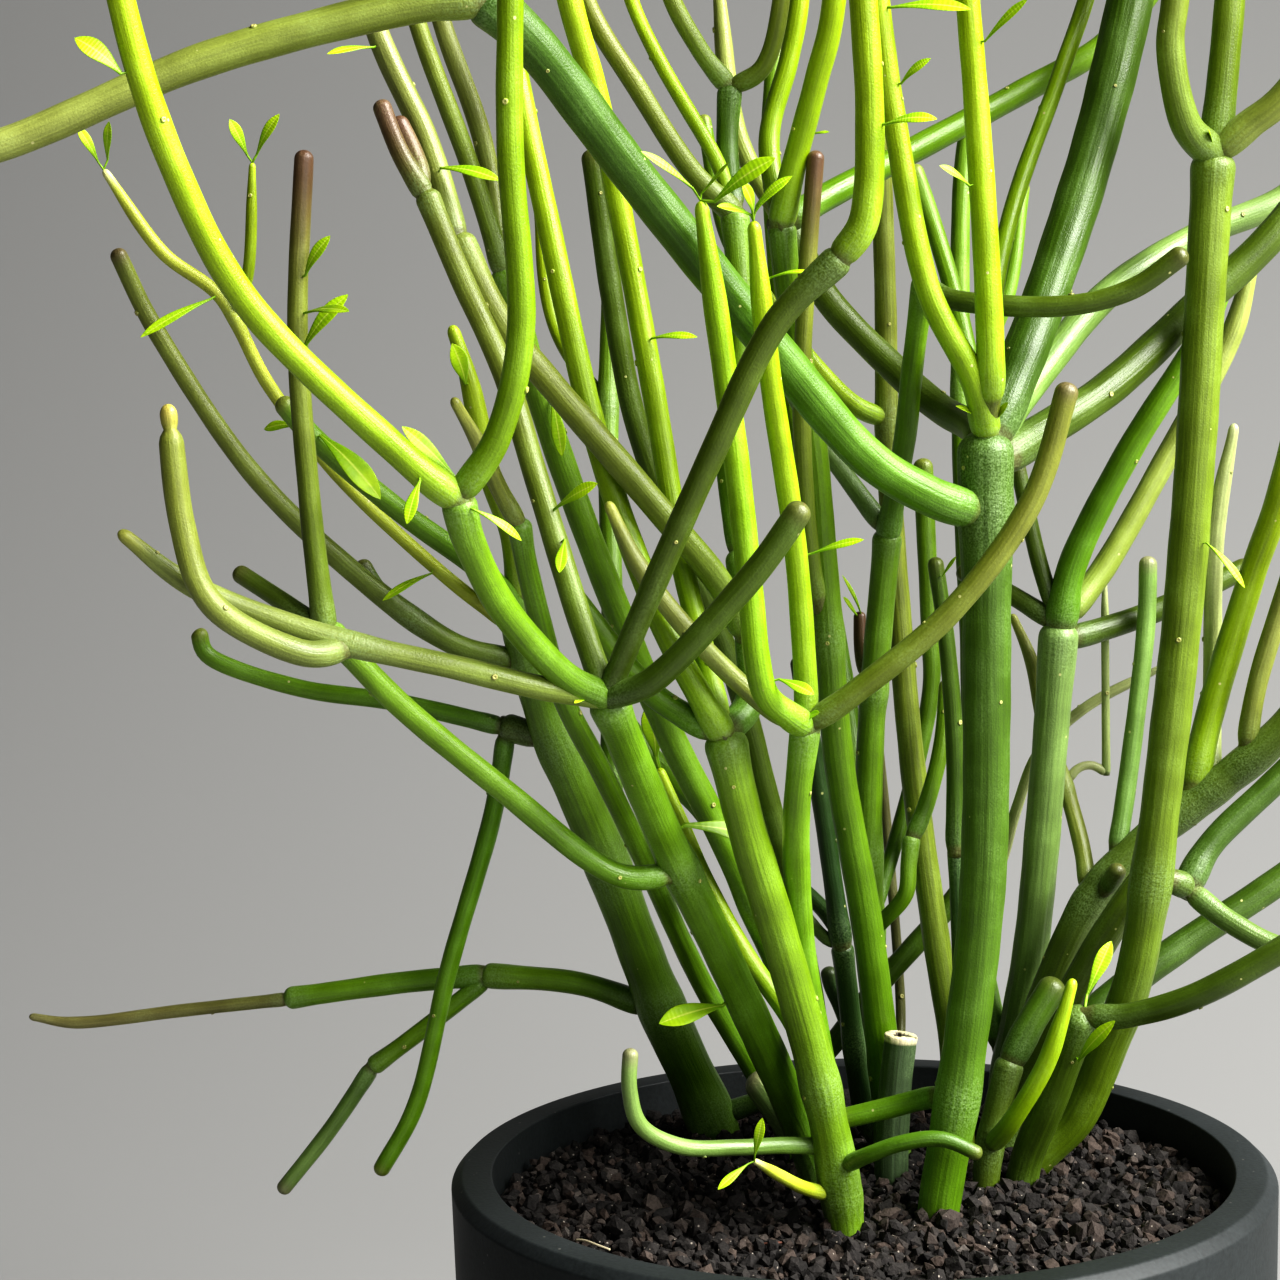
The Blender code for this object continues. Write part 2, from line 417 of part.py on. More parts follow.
def build_pot():
    foot_radius = POT_TOP_RADIUS - POT_HEIGHT * math.tan(POT_TAPER)
    inner_top = POT_TOP_RADIUS - POT_WALL
    inner_foot = inner_top - (POT_HEIGHT - POT_FLOOR) * math.tan(POT_TAPER)
    profile = [
        (0.0, 0.0),
        (foot_radius - FOOT_CHAMFER, 0.0),
        (foot_radius, FOOT_CHAMFER),
        (POT_TOP_RADIUS, POT_HEIGHT - RIM_CHAMFER),
        (POT_TOP_RADIUS - RIM_CHAMFER, POT_HEIGHT),
        (inner_top, POT_HEIGHT),
        (inner_foot, POT_FLOOR),
        (0.0, POT_FLOOR),
    ]
    turned("pot", profile, material("pot_charcoal", (0.045, 0.05, 0.05), 0.6))


def build_grit():
    """The bed fills the pot to below its rim, with a blind hole for each rooted stem."""
    wall_slope = math.tan(POT_TAPER)
    edge_height = POT_HEIGHT - GRIT_EDGE_DEPTH
    inner_top = POT_TOP_RADIUS - POT_WALL
    edge_radius = inner_top - GRIT_EDGE_DEPTH * wall_slope - GAP
    floor_height = POT_FLOOR + GAP
    floor_radius = inner_top - (POT_HEIGHT - floor_height) * wall_slope - GAP
    mound = [(edge_radius * share, edge_height + GRIT_MOUND * (1.0 - share ** 2))
             for share in MOUND_RINGS]
    profile = [(0.0, floor_height), (floor_radius, floor_height), (edge_radius, edge_height)] + mound
    mat = material("grit_dark", (0.05, 0.045, 0.042), 0.95)
    grit = turned("grit_bed", profile, mat)
    holes = []
    for name, shoots in STEMS.items():
        girth, _, points = shoots[0]
        holes.append(tube("hole_" + name, points[:3], girth, girth, mat, HOLE_GAP, True))
    join_all(grit, holes, "DIFFERENCE")


def build_stem(name, shoots):
    mat = material(name + "_skin", (0.09, 0.26, 0.03), 0.45)
    sawn_off = name == "stem_cut_stump"
    pieces = []
    for number, (girth_start, girth_end, points) in enumerate(shoots):
        piece_name = name if number == 0 else f"{name}_arm_{number}"
        pieces.append(tube(piece_name, points, girth_start, girth_end, mat, flat_end=sawn_off))
    if len(pieces) > 1:
        join_all(pieces[0], pieces[1:], "UNION")


def build_leaf(name, base, tip, width, mat):
    """A thin lance-shaped leaf: five diamond sections from its narrow foot to its point."""
    start = Vector(base) * MM
    along = Vector(tip) * MM - start
    ahead = along.normalized()
    facing = Vector(LEAF_FACING)
    face = (facing - ahead * facing.dot(ahead)).normalized()
    across = ahead.cross(face)
    bm = bmesh.new()
    previous = None
    for share, breadth in LEAF_SECTIONS:
        half = 0.5 * breadth * width * MM
        rise = 0.5 * LEAF_THICKNESS * (0.5 + 0.5 * breadth)
        centre = start + along * share + face * (LEAF_ARCH * along.length * math.sin(math.pi * share))
        corners = (across * half, face * rise, -across * half, -face * rise)
        ring = [bm.verts.new(centre + corner) for corner in corners]
        if previous is None:
            bm.faces.new(ring)
        else:
            for k in range(4):
                bm.faces.new((previous[k - 1], previous[k], ring[k], ring[k - 1]))
        previous = ring
    bm.faces.new(previous)
    add_object(name, bm, mat)


def build_leaves():
    for number, (base, tip, width) in enumerate(LEAVES, start=1):
        name = f"leaf_{number:02d}"
        build_leaf(name, base, tip, width, material(name + "_skin", (0.32, 0.62, 0.03), 0.4))


clear_scene()
build_pot()
build_grit()
for stem_name, stem_shoots in STEMS.items():
    build_stem(stem_name, stem_shoots)
build_leaves()
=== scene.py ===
"""Potted pencil euphorbia: the finish of its pot, its sixteen rooted stems, the leaves and the grit.

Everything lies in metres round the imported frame. A shoot's girth and route are in millimetres, with
the floor at zero, and its skin follows the same smooth curve as the frame's solid does.
"""
import math

import bmesh
import bpy
import numpy as np
from mathutils import Matrix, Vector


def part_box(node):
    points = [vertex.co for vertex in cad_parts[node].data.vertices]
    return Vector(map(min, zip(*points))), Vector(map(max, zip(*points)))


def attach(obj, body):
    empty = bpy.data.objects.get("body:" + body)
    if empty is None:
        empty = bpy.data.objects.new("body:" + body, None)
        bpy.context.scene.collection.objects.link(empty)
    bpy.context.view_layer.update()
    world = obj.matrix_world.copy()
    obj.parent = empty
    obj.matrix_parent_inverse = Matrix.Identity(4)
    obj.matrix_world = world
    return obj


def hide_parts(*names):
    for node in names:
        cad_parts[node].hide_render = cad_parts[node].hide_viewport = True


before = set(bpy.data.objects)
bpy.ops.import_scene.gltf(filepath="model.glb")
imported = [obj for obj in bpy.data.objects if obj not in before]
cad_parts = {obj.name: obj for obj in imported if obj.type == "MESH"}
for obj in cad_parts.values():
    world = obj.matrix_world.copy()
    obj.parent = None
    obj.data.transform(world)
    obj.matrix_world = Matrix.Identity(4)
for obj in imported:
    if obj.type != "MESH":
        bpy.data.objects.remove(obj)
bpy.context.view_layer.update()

# ---- The pot -------------------------------------------------------------------------------
# One thick-walled, straight-sided vessel, cast in stoneware with a matt charcoal glaze. Its flat
# rim is bevelled outside and eased inside, and the glaze is clouded, finely pored and a little dusty.
MM = 0.001
POT_WALL = 10.0 * MM
POT_LEAN = math.tan(math.radians(1.0))
POT_FLOOR = 9.0 * MM
RIM_BEVEL = 2.5 * MM
FOOT_BEVEL = 1.5 * MM
EDGE_EASE = 0.5 * MM
POT_TURNS = 256
pot_top_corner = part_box("pot")[1]
rim_height = pot_top_corner.z
rim_radius = pot_top_corner.x
inner_radius = rim_radius - POT_WALL


def paint(red, green, blue):
    """A colour as a display shows it, 0 to 255 each, turned into linear light with full cover."""
    share = np.array([red, green, blue]) / 255.0
    linear = np.where(share <= 0.04045, share / 12.92, ((share + 0.055) / 1.055) ** 2.4)
    return (*linear.tolist(), 1.0)


def eased(corners, reach, steps=4):
    """An outline whose corners, but for the two ends, are eased: (1-t)(1-t) a + 2t(1-t) corner +
    tt b, where a and b lie one reach from the corner on its two edges."""
    middle = corners[1:-1]
    a, b = [middle + side / np.linalg.norm(side, axis=1, keepdims=True) * reach
            for side in (corners[:-2] - middle, corners[2:] - middle)]
    t = np.linspace(0.0, 1.0, steps)[None, :, None]
    curve = (1 - t) ** 2 * a[:, None] + 2 * t * (1 - t) * middle[:, None] + t ** 2 * b[:, None]
    return curve.reshape(-1, 2)


def tube_faces(rings, sides):
    """Faces of a tube of rings, vertex number = ring x sides + side, then a pole at each end."""
    row = np.arange(rings - 1)[:, None] * sides
    here = np.arange(sides)[None, :]
    beside = (here + 1) % sides
    quads = np.stack((row + here, row + beside, row + sides + beside, row + sides + here), axis=-1)
    first, last = here[0], here[0] + (rings - 1) * sides
    low_pole, high_pole = rings * sides, rings * sides + 1
    low_fan = np.stack((np.full(sides, low_pole), np.roll(first, -1), first), axis=-1)
    high_fan = np.stack((np.full(sides, high_pole), last, np.roll(last, -1)), axis=-1)
    return quads.reshape(-1, 4), np.vstack((low_fan, high_fan))


def add_piece(name, points, quads, triangles, skin, smooth=True):
    """A mesh object at the origin, made of arrays of points and of faces."""
    mesh = bpy.data.meshes.new(name)
    mesh.from_pydata(points.tolist(), [], quads.tolist() + triangles.tolist())
    mesh.polygons.foreach_set("use_smooth", np.full(len(mesh.polygons), smooth))
    mesh.materials.append(skin)
    piece = bpy.data.objects.new(name, mesh)
    bpy.context.scene.collection.objects.link(piece)
    return piece


def turned(name, corners, skin):
    """A closed turned body: x = r cos a, y = r sin a, z = z for an eased outline of (r, z) corners
    whose first and last lie on the axis."""
    outline = eased(corners, EDGE_EASE)
    angle = 2.0 * np.pi * np.arange(POT_TURNS) / POT_TURNS
    rings = np.stack((outline[:, :1] * np.cos(angle), outline[:, :1] * np.sin(angle),
                      outline[:, 1:] * np.ones(POT_TURNS)), axis=-1)
    poles = np.column_stack((np.zeros((2, 2)), corners[[0, -1], 1]))
    quads, triangles = tube_faces(len(outline), POT_TURNS)
    return add_piece(name, np.vstack((rings.reshape(-1, 3), poles)), quads, triangles, skin)


def feed(tree, made, inputs):
    """Give a node its inputs: one that is given a socket is joined to it, and any other is set."""
    for key, value in inputs.items():
        if isinstance(value, bpy.types.NodeSocket):
            tree.links.new(value, made.inputs[key])
        else:
            made.inputs[key].default_value = value


def node(tree, kind, inputs, **settings):
    """A shader node with its settings and its inputs."""
    made = tree.nodes.new(kind)
    for key, value in settings.items():
        setattr(made, key, value)
    feed(tree, made, inputs)
    return made


def blend(tree, mode, share, first, second):
    """Two colours put together in the given mode, as strongly as share says."""
    mixer = node(tree, "ShaderNodeMix", {0: share, 6: first, 7: second}, data_type="RGBA", blend_type=mode)
    return mixer.outputs[2]


def spread(tree, value, low, high, new_low, new_high):
    """A value carried from one range to another, and held inside it."""
    inputs = {"Value": value, "From Min": low, "From Max": high, "To Min": new_low, "To Max": new_high}
    return node(tree, "ShaderNodeMapRange", inputs).outputs[0]


def new_skin(name, roughness, shine):
    """A material with a Principled shader, and the node tree to build the rest in."""
    skin = bpy.data.materials.new(name)
    skin.use_nodes = True
    shader = skin.node_tree.nodes["Principled BSDF"]
    shader.inputs["Roughness"].default_value = roughness
    shader.inputs["Specular IOR Level"].default_value = shine
    return skin, skin.node_tree, shader


def new_group(name, inputs, outputs):
    """A shader node group with named float, vector or colour sockets."""
    group = bpy.data.node_groups.new(name, "ShaderNodeTree")
    for in_out, sockets in (("INPUT", inputs), ("OUTPUT", outputs)):
        for socket, kind in sockets.items():
            group.interface.new_socket(socket, in_out=in_out, socket_type="NodeSocket" + kind)
    return group, group.nodes.new("NodeGroupInput").outputs, group.nodes.new("NodeGroupOutput").inputs


def place_group(tree, group, **inputs):
    """The outputs of a node group that is placed in a material with these inputs."""
    made = tree.nodes.new("ShaderNodeGroup")
    made.node_tree = group
    feed(tree, made, inputs)
    return made.outputs


# Specks: a scatter of small round spots, white where a cell's middle comes nearer than the size.
specks, given, wanted = new_group(
    "specks", {"Place": "Vector", "Cells": "Float", "Size": "Float"}, {"Mask": "Float"})
cells = node(specks, "ShaderNodeTexVoronoi", {"Vector": given["Place"], "Scale": given["Cells"]})
edge = node(specks, "ShaderNodeMath", {0: cells.outputs["Distance"], 1: given["Size"]}, operation="DIVIDE")
specks.links.new(spread(specks, edge.outputs[0], 0.7, 1.0, 1.0, 0.0), wanted["Mask"])

GLAZE_DARK = paint(38, 42, 42)
GLAZE_LIGHT = paint(50, 55, 56)
DUST_GREY = paint(88, 88, 84)
glaze, tree, shader = new_skin("charcoal_glaze", 0.58, 0.4)
place = node(tree, "ShaderNodeTexCoord", {}).outputs["Object"]
cloud = node(tree, "ShaderNodeTexNoise", {"Vector": place, "Scale": 14.0, "Detail": 5.0}).outputs[0]
grain = node(tree, "ShaderNodeTexNoise", {"Vector": place, "Scale": 900.0, "Detail": 3.0}).outputs[0]
dust = place_group(tree, specks, Place=place, Cells=170.0, Size=0.065)["Mask"]
colour = blend(tree, "MIX", spread(tree, cloud, 0.35, 0.7, 0.0, 1.0), GLAZE_DARK, GLAZE_LIGHT)
speckle = node(tree, "ShaderNodeValToRGB", {"Fac": spread(tree, grain, 0.3, 0.7, 0.35, 1.0)})
colour = blend(tree, "MULTIPLY", 0.5, colour, speckle.outputs[0])
colour = blend(tree, "MIX", dust, colour, DUST_GREY)
tree.links.new(colour, shader.inputs["Base Color"])
tree.links.new(spread(tree, cloud, 0.3, 0.7, 0.5, 0.64), shader.inputs["Roughness"])
pores = node(tree, "ShaderNodeBump", {"Height": grain, "Distance": 0.12 * MM, "Strength": 0.5})
tree.links.new(pores.outputs[0], shader.inputs["Normal"])

foot_radius = rim_radius - rim_height * POT_LEAN
well_radius = inner_radius - (rim_height - POT_FLOOR) * POT_LEAN
pot_corners = np.array([
    (0.0, 0.0),
    (foot_radius - FOOT_BEVEL, 0.0),
    (foot_radius, FOOT_BEVEL),
    (rim_radius, rim_height - RIM_BEVEL),
    (rim_radius - RIM_BEVEL, rim_height),
    (inner_radius, rim_height),
    (well_radius, POT_FLOOR),
    (0.0, POT_FLOOR),
])
pot = turned("pot_glazed", pot_corners, glaze)
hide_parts("pot")
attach(pot, "root")

# ---- The rooted stems: how one grows -------------------------------------------------------
# Each cutting is one living piece: a round, finely lined trunk, and jointed arms that spring from
# knuckles in whorls. Every arm is pinched where it leaves its parent, and the skin is waxy and
# marked with small cream scars where leaves have dropped. The pale wax is partly painted sheen, and
# the dark brown in each arm's crease is mostly painted shadow.
RING_STEP = 1.25 * MM
CURVE_SPLITS = 24
TRUNK_GIRTH = 8.0                                # mm, from which a shoot has a trunk's sides
TRUNK_SIDES = 72
ARM_SIDES = 24
FORK_REACH = 4.0 * MM
SCAR_CLEAR = 40.0 * MM
GRIT_EDGE = rim_height - 10.5 * MM
BUTT = 0.7                                       # how deep an arm's foot is set, in its radii
PINCH = 0.2                                      # how much an arm's foot is drawn in
KNOT_SWELL = 0.13
KNOT_REACH = 1.25                                # in girths of the arm that springs there
SWELLINGS = ((0.012, 6.1 * MM), (0.01, 2.3 * MM))
ROUGH_SEED = 11
grown = np.random.default_rng(ROUGH_SEED)

# Each tone is the colour at a shoot's foot, further along and at its end, the length over which the
# end's colour comes in, in mm, and the shape of the end.
TONES = {
    "green": (paint(96, 136, 16), paint(114, 152, 24), paint(132, 142, 60), 5.0, "blunt"),
    "trunk": (paint(98, 138, 20), paint(76, 108, 20), paint(110, 122, 54), 5.0, "blunt"),
    "mellow": (paint(102, 124, 18), paint(116, 134, 34), paint(132, 138, 62), 6.0, "blunt"),
    "lime": (paint(124, 160, 12), paint(140, 174, 12), paint(178, 206, 40), 7.0, "narrow"),
    "moss": (paint(106, 144, 16), paint(122, 160, 22), paint(132, 142, 60), 5.0, "blunt"),
    # Painted shade: a dark grey-green for shoots standing in the shade at the back.
    "shade": (paint(49, 76, 34), paint(61, 87, 42), paint(74, 87, 53), 5.0, "blunt"),
    "deep": (paint(66, 95, 17), paint(78, 106, 23), paint(104, 116, 51), 6.0, "blunt"),
    "milky": (paint(182, 194, 126), paint(198, 208, 144), paint(206, 213, 155), 8.0, "narrow"),
    "dark": (paint(76, 96, 18), paint(88, 108, 24), paint(99, 103, 48), 6.0, "blunt"),
    "bright": (paint(140, 171, 13), paint(158, 184, 11), paint(179, 205, 37), 8.0, "narrow"),
    "olive": (paint(108, 127, 35), paint(127, 136, 52), paint(108, 96, 63), 6.0, "blunt"),
    "browned": (paint(108, 127, 35), paint(127, 134, 52), paint(108, 81, 60), 34.0, "blunt"),
    "straw": (paint(115, 118, 62), paint(132, 130, 79), paint(141, 137, 90), 6.0, "narrow"),
    "pale": (paint(137, 150, 63), paint(154, 162, 84), paint(182, 186, 91), 10.0, "narrow"),
    "budding": (paint(130, 141, 68), paint(143, 150, 64), paint(212, 199, 103), 7.0, "bud"),
    "yellow": (paint(177, 192, 46), paint(193, 205, 71), paint(219, 219, 149), 6.0, "narrow"),
    "sage": (paint(108, 138, 64), paint(130, 158, 84), paint(142, 142, 104), 6.0, "blunt"),
    "sawn": (paint(59, 78, 46), paint(70, 87, 55), paint(70, 87, 55), 1.0, "sawn"),
}
# An end as rings: how far each lies back from the tip, and its share of the girth, both in radii.
round_end = np.sin(np.linspace(0.0, 0.5 * np.pi, 11)[1:-1])
ENDS = {
    "blunt": np.column_stack((1.0 - round_end, (1.0 - round_end ** 2.3) ** 0.5)),
    "sawn": np.array([(0.5, 1.0), (0.34, 1.03), (0.1, 1.04), (0.0, 0.97), (0.02, 0.8), (0.0, 0.64),
                      (0.12, 0.52), (0.6, 0.44), (0.85, 0.26), (0.9, 0.1)]),
}
# The rings of a sawn end from which it is cream bark, ragged inside, and pith.
CUT_BARK, CUT_HOLLOW, CUT_DEPTH = 1, 4, 6
SCAR_SPACING = (14.0 * MM, 46.0 * MM)
SCAR_SIZES = (0.45 * MM, 0.85 * MM)
SCAR_PLACES = 60                                 # more than the longest shoot has room for
SCAR_CHANCE = 0.75
SCAR_FOOT_GAP = 6.0 * MM
SCAR_END_GAP = 7.0 * MM
SCAR_SIDES = 8
# A scar's rings, outermost first: how wide and how high each is, as shares of the scar's size, and how
# cream it is. The root lies under the skin, and the dent is the middle of the scar.
SCAR_SHARES = np.array([1.0, 0.8, 0.5, 0.25])
SCAR_HEIGHTS = np.array([-0.35, 0.3, 0.42, 0.26])
SCAR_CREAMS = (0.0, 0.35, 1.0, 0.8)
SCAR_ROOT = 0.4
SCAR_DENT = 0.1
GOLDEN_TURN = 0.381966
SCAR_CREAM = np.array(paint(196, 190, 120))
# Painted shadow in the crease round an arm's foot, a dark brown that also gives its thin brown ring.
CREASE_SHADOW_BROWN = np.array(paint(92, 84, 44))
NIB_BROWN = np.array(paint(120, 78, 52))
CUT_CREAM = np.array(paint(214, 204, 168))
CUT_PITH = np.array(paint(70, 58, 42))


def smooth_route(points):
    """The smooth curve through the points, in metres: for each four in a row, half of
    2b + (c-a)t + (2a-5b+4c-d)tt + (3b-a-3c+d)ttt as t goes from 0 at b to 1 at c."""
    knots = np.array(points, float) * MM
    ends = np.vstack((2.0 * knots[0] - knots[1], knots, 2.0 * knots[-1] - knots[-2]))
    a, b, c, d = (ends[k:len(ends) - 3 + k, None] for k in range(4))
    t = np.linspace(0.0, 1.0, CURVE_SPLITS, endpoint=False)[None, :, None]
    curve = 0.5 * (2 * b + (c - a) * t + (2 * a - 5 * b + 4 * c - d) * t ** 2
                   + (3 * b - a - 3 * c + d) * t ** 3)
    return np.vstack((curve.reshape(-1, 3), knots[-1:]))


def run_along(curve):
    """How far along a curve each of its points is."""
    return np.concatenate(([0.0], np.cumsum(np.linalg.norm(np.diff(curve, axis=0), axis=1))))


def bump(places, middle, width):
    """The bell exp(-((s - middle) / width)^2)."""
    return np.exp(-((places - middle) / width) ** 2)


def step_up(value, low, high):
    """A soft step from 0 to 1: tt(3 - 2t), with t the value's share of the way from low to high."""
    t = np.clip((value - low) / (high - low), 0.0, 1.0)
    return t * t * (3.0 - 2.0 * t)


def sweep(curve, places, radii):
    """Rings carried along a curve: centre(s) + r(s, a) (cos a side(s) + sin a across(s)). The side
    is the direction that the curve leans to least, squared up to the curve at each ring."""
    run = run_along(curve)
    centre = np.column_stack([np.interp(places, run, curve[:, k]) for k in range(3)])
    slope = np.gradient(curve, run, axis=0)
    ahead = np.column_stack([np.interp(places, run, slope[:, k]) for k in range(3)])
    ahead /= np.linalg.norm(ahead, axis=1, keepdims=True)
    steady = np.linalg.svd(slope, full_matrices=False)[2][-1]
    side = steady - ahead * (ahead @ steady)[:, None]
    side /= np.linalg.norm(side, axis=1, keepdims=True)
    across = np.cross(ahead, side)
    angle = 2.0 * np.pi * np.arange(radii.shape[1]) / radii.shape[1]
    out = side[:, None] * np.cos(angle)[None, :, None] + across[:, None] * np.sin(angle)[None, :, None]
    return centre, out, centre[:, None] + radii[:, :, None] * out


def end_taper(kind, left):
    """How a shoot thins before its end, as a share of its girth; left is the way to go, in radii."""
    if kind == "narrow":
        return 0.62 + 0.38 * step_up(left, 0.0, 9.0)
    if kind == "bud":
        return (0.7 + 0.3 * step_up(left, 1.6, 3.2)) * (1.0 - 0.3 * bump(left, 2.0, 0.35))
    return np.ones(len(left))


def leaf_scars(centre, out, radii, places, clear_foot, clear_end):
    """Small raised scars up a shoot, each a golden angle round from the last. A scar is seat +
    size (q cos a ahead + q sin a aside + h normal) for rings of share q and height h, and its
    middle is a dent. Gives points, faces, and how cream each point of one scar is."""
    steps = np.cumsum(grown.uniform(*SCAR_SPACING, SCAR_PLACES))
    steps = steps[(steps > clear_foot) & (steps < places[-1] - clear_end)]
    steps = steps[grown.random(len(steps)) < SCAR_CHANCE]
    ring = np.searchsorted(places, steps)
    spoke = ((np.arange(len(ring)) * GOLDEN_TURN + grown.random()) % 1.0 * out.shape[1]).astype(int)
    normal = out[ring, spoke]
    ahead = centre[ring] - centre[ring - 1]
    ahead /= np.linalg.norm(ahead, axis=1, keepdims=True)
    aside = np.cross(normal, ahead)
    seat = centre[ring] + normal * radii[ring, spoke][:, None]
    size = grown.uniform(*SCAR_SIZES, (len(ring), 1, 1, 1))
    angle = (2.0 * np.pi * np.arange(SCAR_SIDES) / SCAR_SIDES)[None, None, :, None]
    ahead, aside, normal = (axis[:, None, None] for axis in (ahead, aside, normal))
    share, height = SCAR_SHARES[None, :, None, None], SCAR_HEIGHTS[None, :, None, None]
    rings = seat[:, None, None] + size * (
        share * (ahead * np.cos(angle) + aside * np.sin(angle)) + height * normal)
    low = seat - size[:, 0, 0] * SCAR_ROOT * normal[:, 0, 0]
    dent = seat + size[:, 0, 0] * SCAR_DENT * normal[:, 0, 0]
    rings = rings.reshape(len(ring), len(SCAR_SHARES) * SCAR_SIDES, 3)
    points = np.concatenate((rings, low[:, None], dent[:, None]), axis=1)
    quads, triangles = tube_faces(len(SCAR_SHARES), SCAR_SIDES)
    first = (np.arange(len(ring)) * points.shape[1])[:, None, None]
    shade = np.concatenate((np.repeat(SCAR_CREAMS, SCAR_SIDES), (0.0, 0.1)))
    quads, triangles = (quads + first).reshape(-1, 4), (triangles + first).reshape(-1, 3)
    return points.reshape(-1, 3), quads, triangles, shade


def grow_shoot(curve, tone, girth_start, girth_end, joints, outside):
    """One shoot as arrays. Its radius is an even taper, times slow swellings, times 1 + swell of the
    nearest joint's bump, times its end's shape. An arm's foot is a round butt: 1 - pinch + pinch (1 -
    (1-u)^2)^0.5 for u from 0 just inside its parent's skin to 1 half a radius outside it. Shallow
    ridges line it all: 7 and 11 waves round it, and 17 and 23 more on a trunk."""
    foot, far, tip, tip_length, end = TONES[tone]
    start_radius, end_radius = 0.5 * MM * girth_start, 0.5 * MM * girth_end
    lead = curve[-1] - curve[-2]
    if outside is not None:
        root = curve[0] - curve[1]
        curve = np.vstack((curve[0] + root / np.linalg.norm(root) * BUTT * start_radius, curve))
        joints = [(place + BUTT * start_radius, girth) for place, girth in joints]
        outside = outside + BUTT * start_radius
    length = run_along(curve)[-1]
    forked = any(place > length - FORK_REACH for place, _ in joints)
    curve = np.vstack((curve, curve[-1] + lead / np.linalg.norm(lead) * MM))
    back, share = ENDS["sawn" if end == "sawn" else "blunt"].T
    body = np.linspace(0.0, length - end_radius, max(3, round((length - end_radius) / RING_STEP)))
    places = np.concatenate((body, length - end_radius * back))
    radius = np.interp(places, (0.0, length), (start_radius, end_radius))
    phase = grown.uniform(0.0, 2.0 * np.pi, 4)
    for (swelling, wave), lag in zip(SWELLINGS, phase):
        radius *= 1.0 + swelling * np.sin(places / wave + lag)
    glow = np.zeros(len(places))
    for place, girth in joints:
        glow = np.maximum(glow, bump(places, place, KNOT_REACH * girth))
    radius *= 1.0 + KNOT_SWELL * glow
    crease_shadow = np.zeros(len(places))
    if outside is not None:
        u = np.clip((places - outside) / (0.85 * start_radius) + 0.3, 0.0, 1.0)
        radius *= 1.0 - PINCH + PINCH * np.sqrt(1.0 - (1.0 - u) ** 2)
        radius *= 1.0 + 0.05 * bump(places, outside + 1.3 * start_radius, start_radius)
        # Painted shadow: the crease where the arm leaves its parent is darkened, with a thin brown ring.
        crease_shadow = 0.75 * (1.0 - step_up(places, outside - 0.1 * start_radius, outside + 0.3 * start_radius))
        glow = np.maximum(glow, 0.7 * bump(places, outside + 0.8 * start_radius, 1.8 * start_radius))
    radius *= end_taper(end if not forked else "blunt", (length - places) / end_radius)
    radius[len(body):] *= share
    sides = TRUNK_SIDES if girth_start >= TRUNK_GIRTH else ARM_SIDES
    angle = 2.0 * np.pi * np.arange(sides) / sides
    wander = 0.4 * np.sin(places / (13.0 * MM) + phase[2])[:, None]
    ridges = 0.006 * np.sin(7.0 * angle + phase[3] + wander) + 0.004 * np.sin(11.0 * angle - wander)
    if sides == TRUNK_SIDES:
        ridges = ridges + 0.005 * np.sin(17.0 * angle + 2.0 * wander)
        ridges = ridges + 0.004 * np.sin(23.0 * angle + phase[2])
    if end == "sawn":
        ragged = 0.09 * np.sin(3.0 * angle + 1.0) + 0.07 * np.sin(5.0 * angle) + 0.04 * np.sin(11.0 * angle)
        inner = np.arange(len(places))[:, None] >= len(body) + CUT_HOLLOW
        ridges = ridges + np.where(inner, 2.2 * ragged, 0.25 * ragged)
    radii = radius[:, None] * (1.0 + ridges)
    centre, out, rings = sweep(curve, places, radii)
    luck = np.append(grown.uniform(0.86, 1.12) * grown.uniform(0.96, 1.04, 3), 1.0)
    tones = np.array(foot) + (np.array(far) - np.array(foot)) * step_up(places / length, 0.05, 0.8)[:, None]
    tones = tones * luck
    nib = NIB_BROWN
    if end == "sawn":
        fresh = np.zeros(len(places))
        fresh[len(body) + CUT_BARK:] = 1.0
        tones = tones + (CUT_CREAM - tones) * fresh[:, None]
        tones[len(body) + CUT_DEPTH:] = CUT_PITH
        nib = CUT_PITH
    elif not forked:
        ended = step_up(places, length - tip_length * MM, length)[:, None]
        tones = tones + (np.array(tip) - tones) * ended
    tones = tones + (CREASE_SHADOW_BROWN - tones) * crease_shadow[:, None]
    poles = np.vstack((centre[:1], centre[-1:] + (centre[-1:] - centre[-2:-1]) * 0.2))
    quads, triangles = tube_faces(len(places), sides)
    marks = np.repeat(np.column_stack((tones, glow)), sides, axis=0)
    marks = np.vstack((marks, marks[:1], [[*(tones[-1] if forked else nib), 0.0]]))
    round_skin = np.stack((radii * np.cos(angle) / MM, radii * np.sin(angle) / MM,
                           np.repeat(places[:, None] / MM, sides, axis=1)), axis=-1).reshape(-1, 3)
    skin_place = np.vstack((round_skin, round_skin[:1], round_skin[-1:])) + grown.uniform(0.0, 900.0, 3)
    points = np.vstack((rings.reshape(-1, 3), poles))
    clear_foot = SCAR_CLEAR if outside is None else outside + SCAR_FOOT_GAP
    spots, spot_quads, spot_triangles, shade = leaf_scars(
        centre, out, radii, places, clear_foot, SCAR_END_GAP)
    cream = np.tile(shade, len(spots) // len(shade))[:, None]
    spot_tones = tones[len(tones) // 2] * (1.0 - cream) + SCAR_CREAM * cream
    spot_marks = np.column_stack((spot_tones, np.zeros(len(spots))))
    return (np.vstack((points, spots)),
            np.vstack((quads, spot_quads + len(points))),
            np.vstack((triangles, spot_triangles + len(points))),
            np.vstack((marks, spot_marks)),
            np.vstack((skin_place, spots / MM)))


def join_shells(parts):
    """Closed shells put into one mesh: their points in a row, and each one's faces counted on."""
    first = np.cumsum([0] + [len(part[0]) for part in parts[:-1]])
    return (np.vstack([part[0] for part in parts]),
            np.vstack([part[1] + start for part, start in zip(parts, first)]),
            np.vstack([part[2] + start for part, start in zip(parts, first)]))


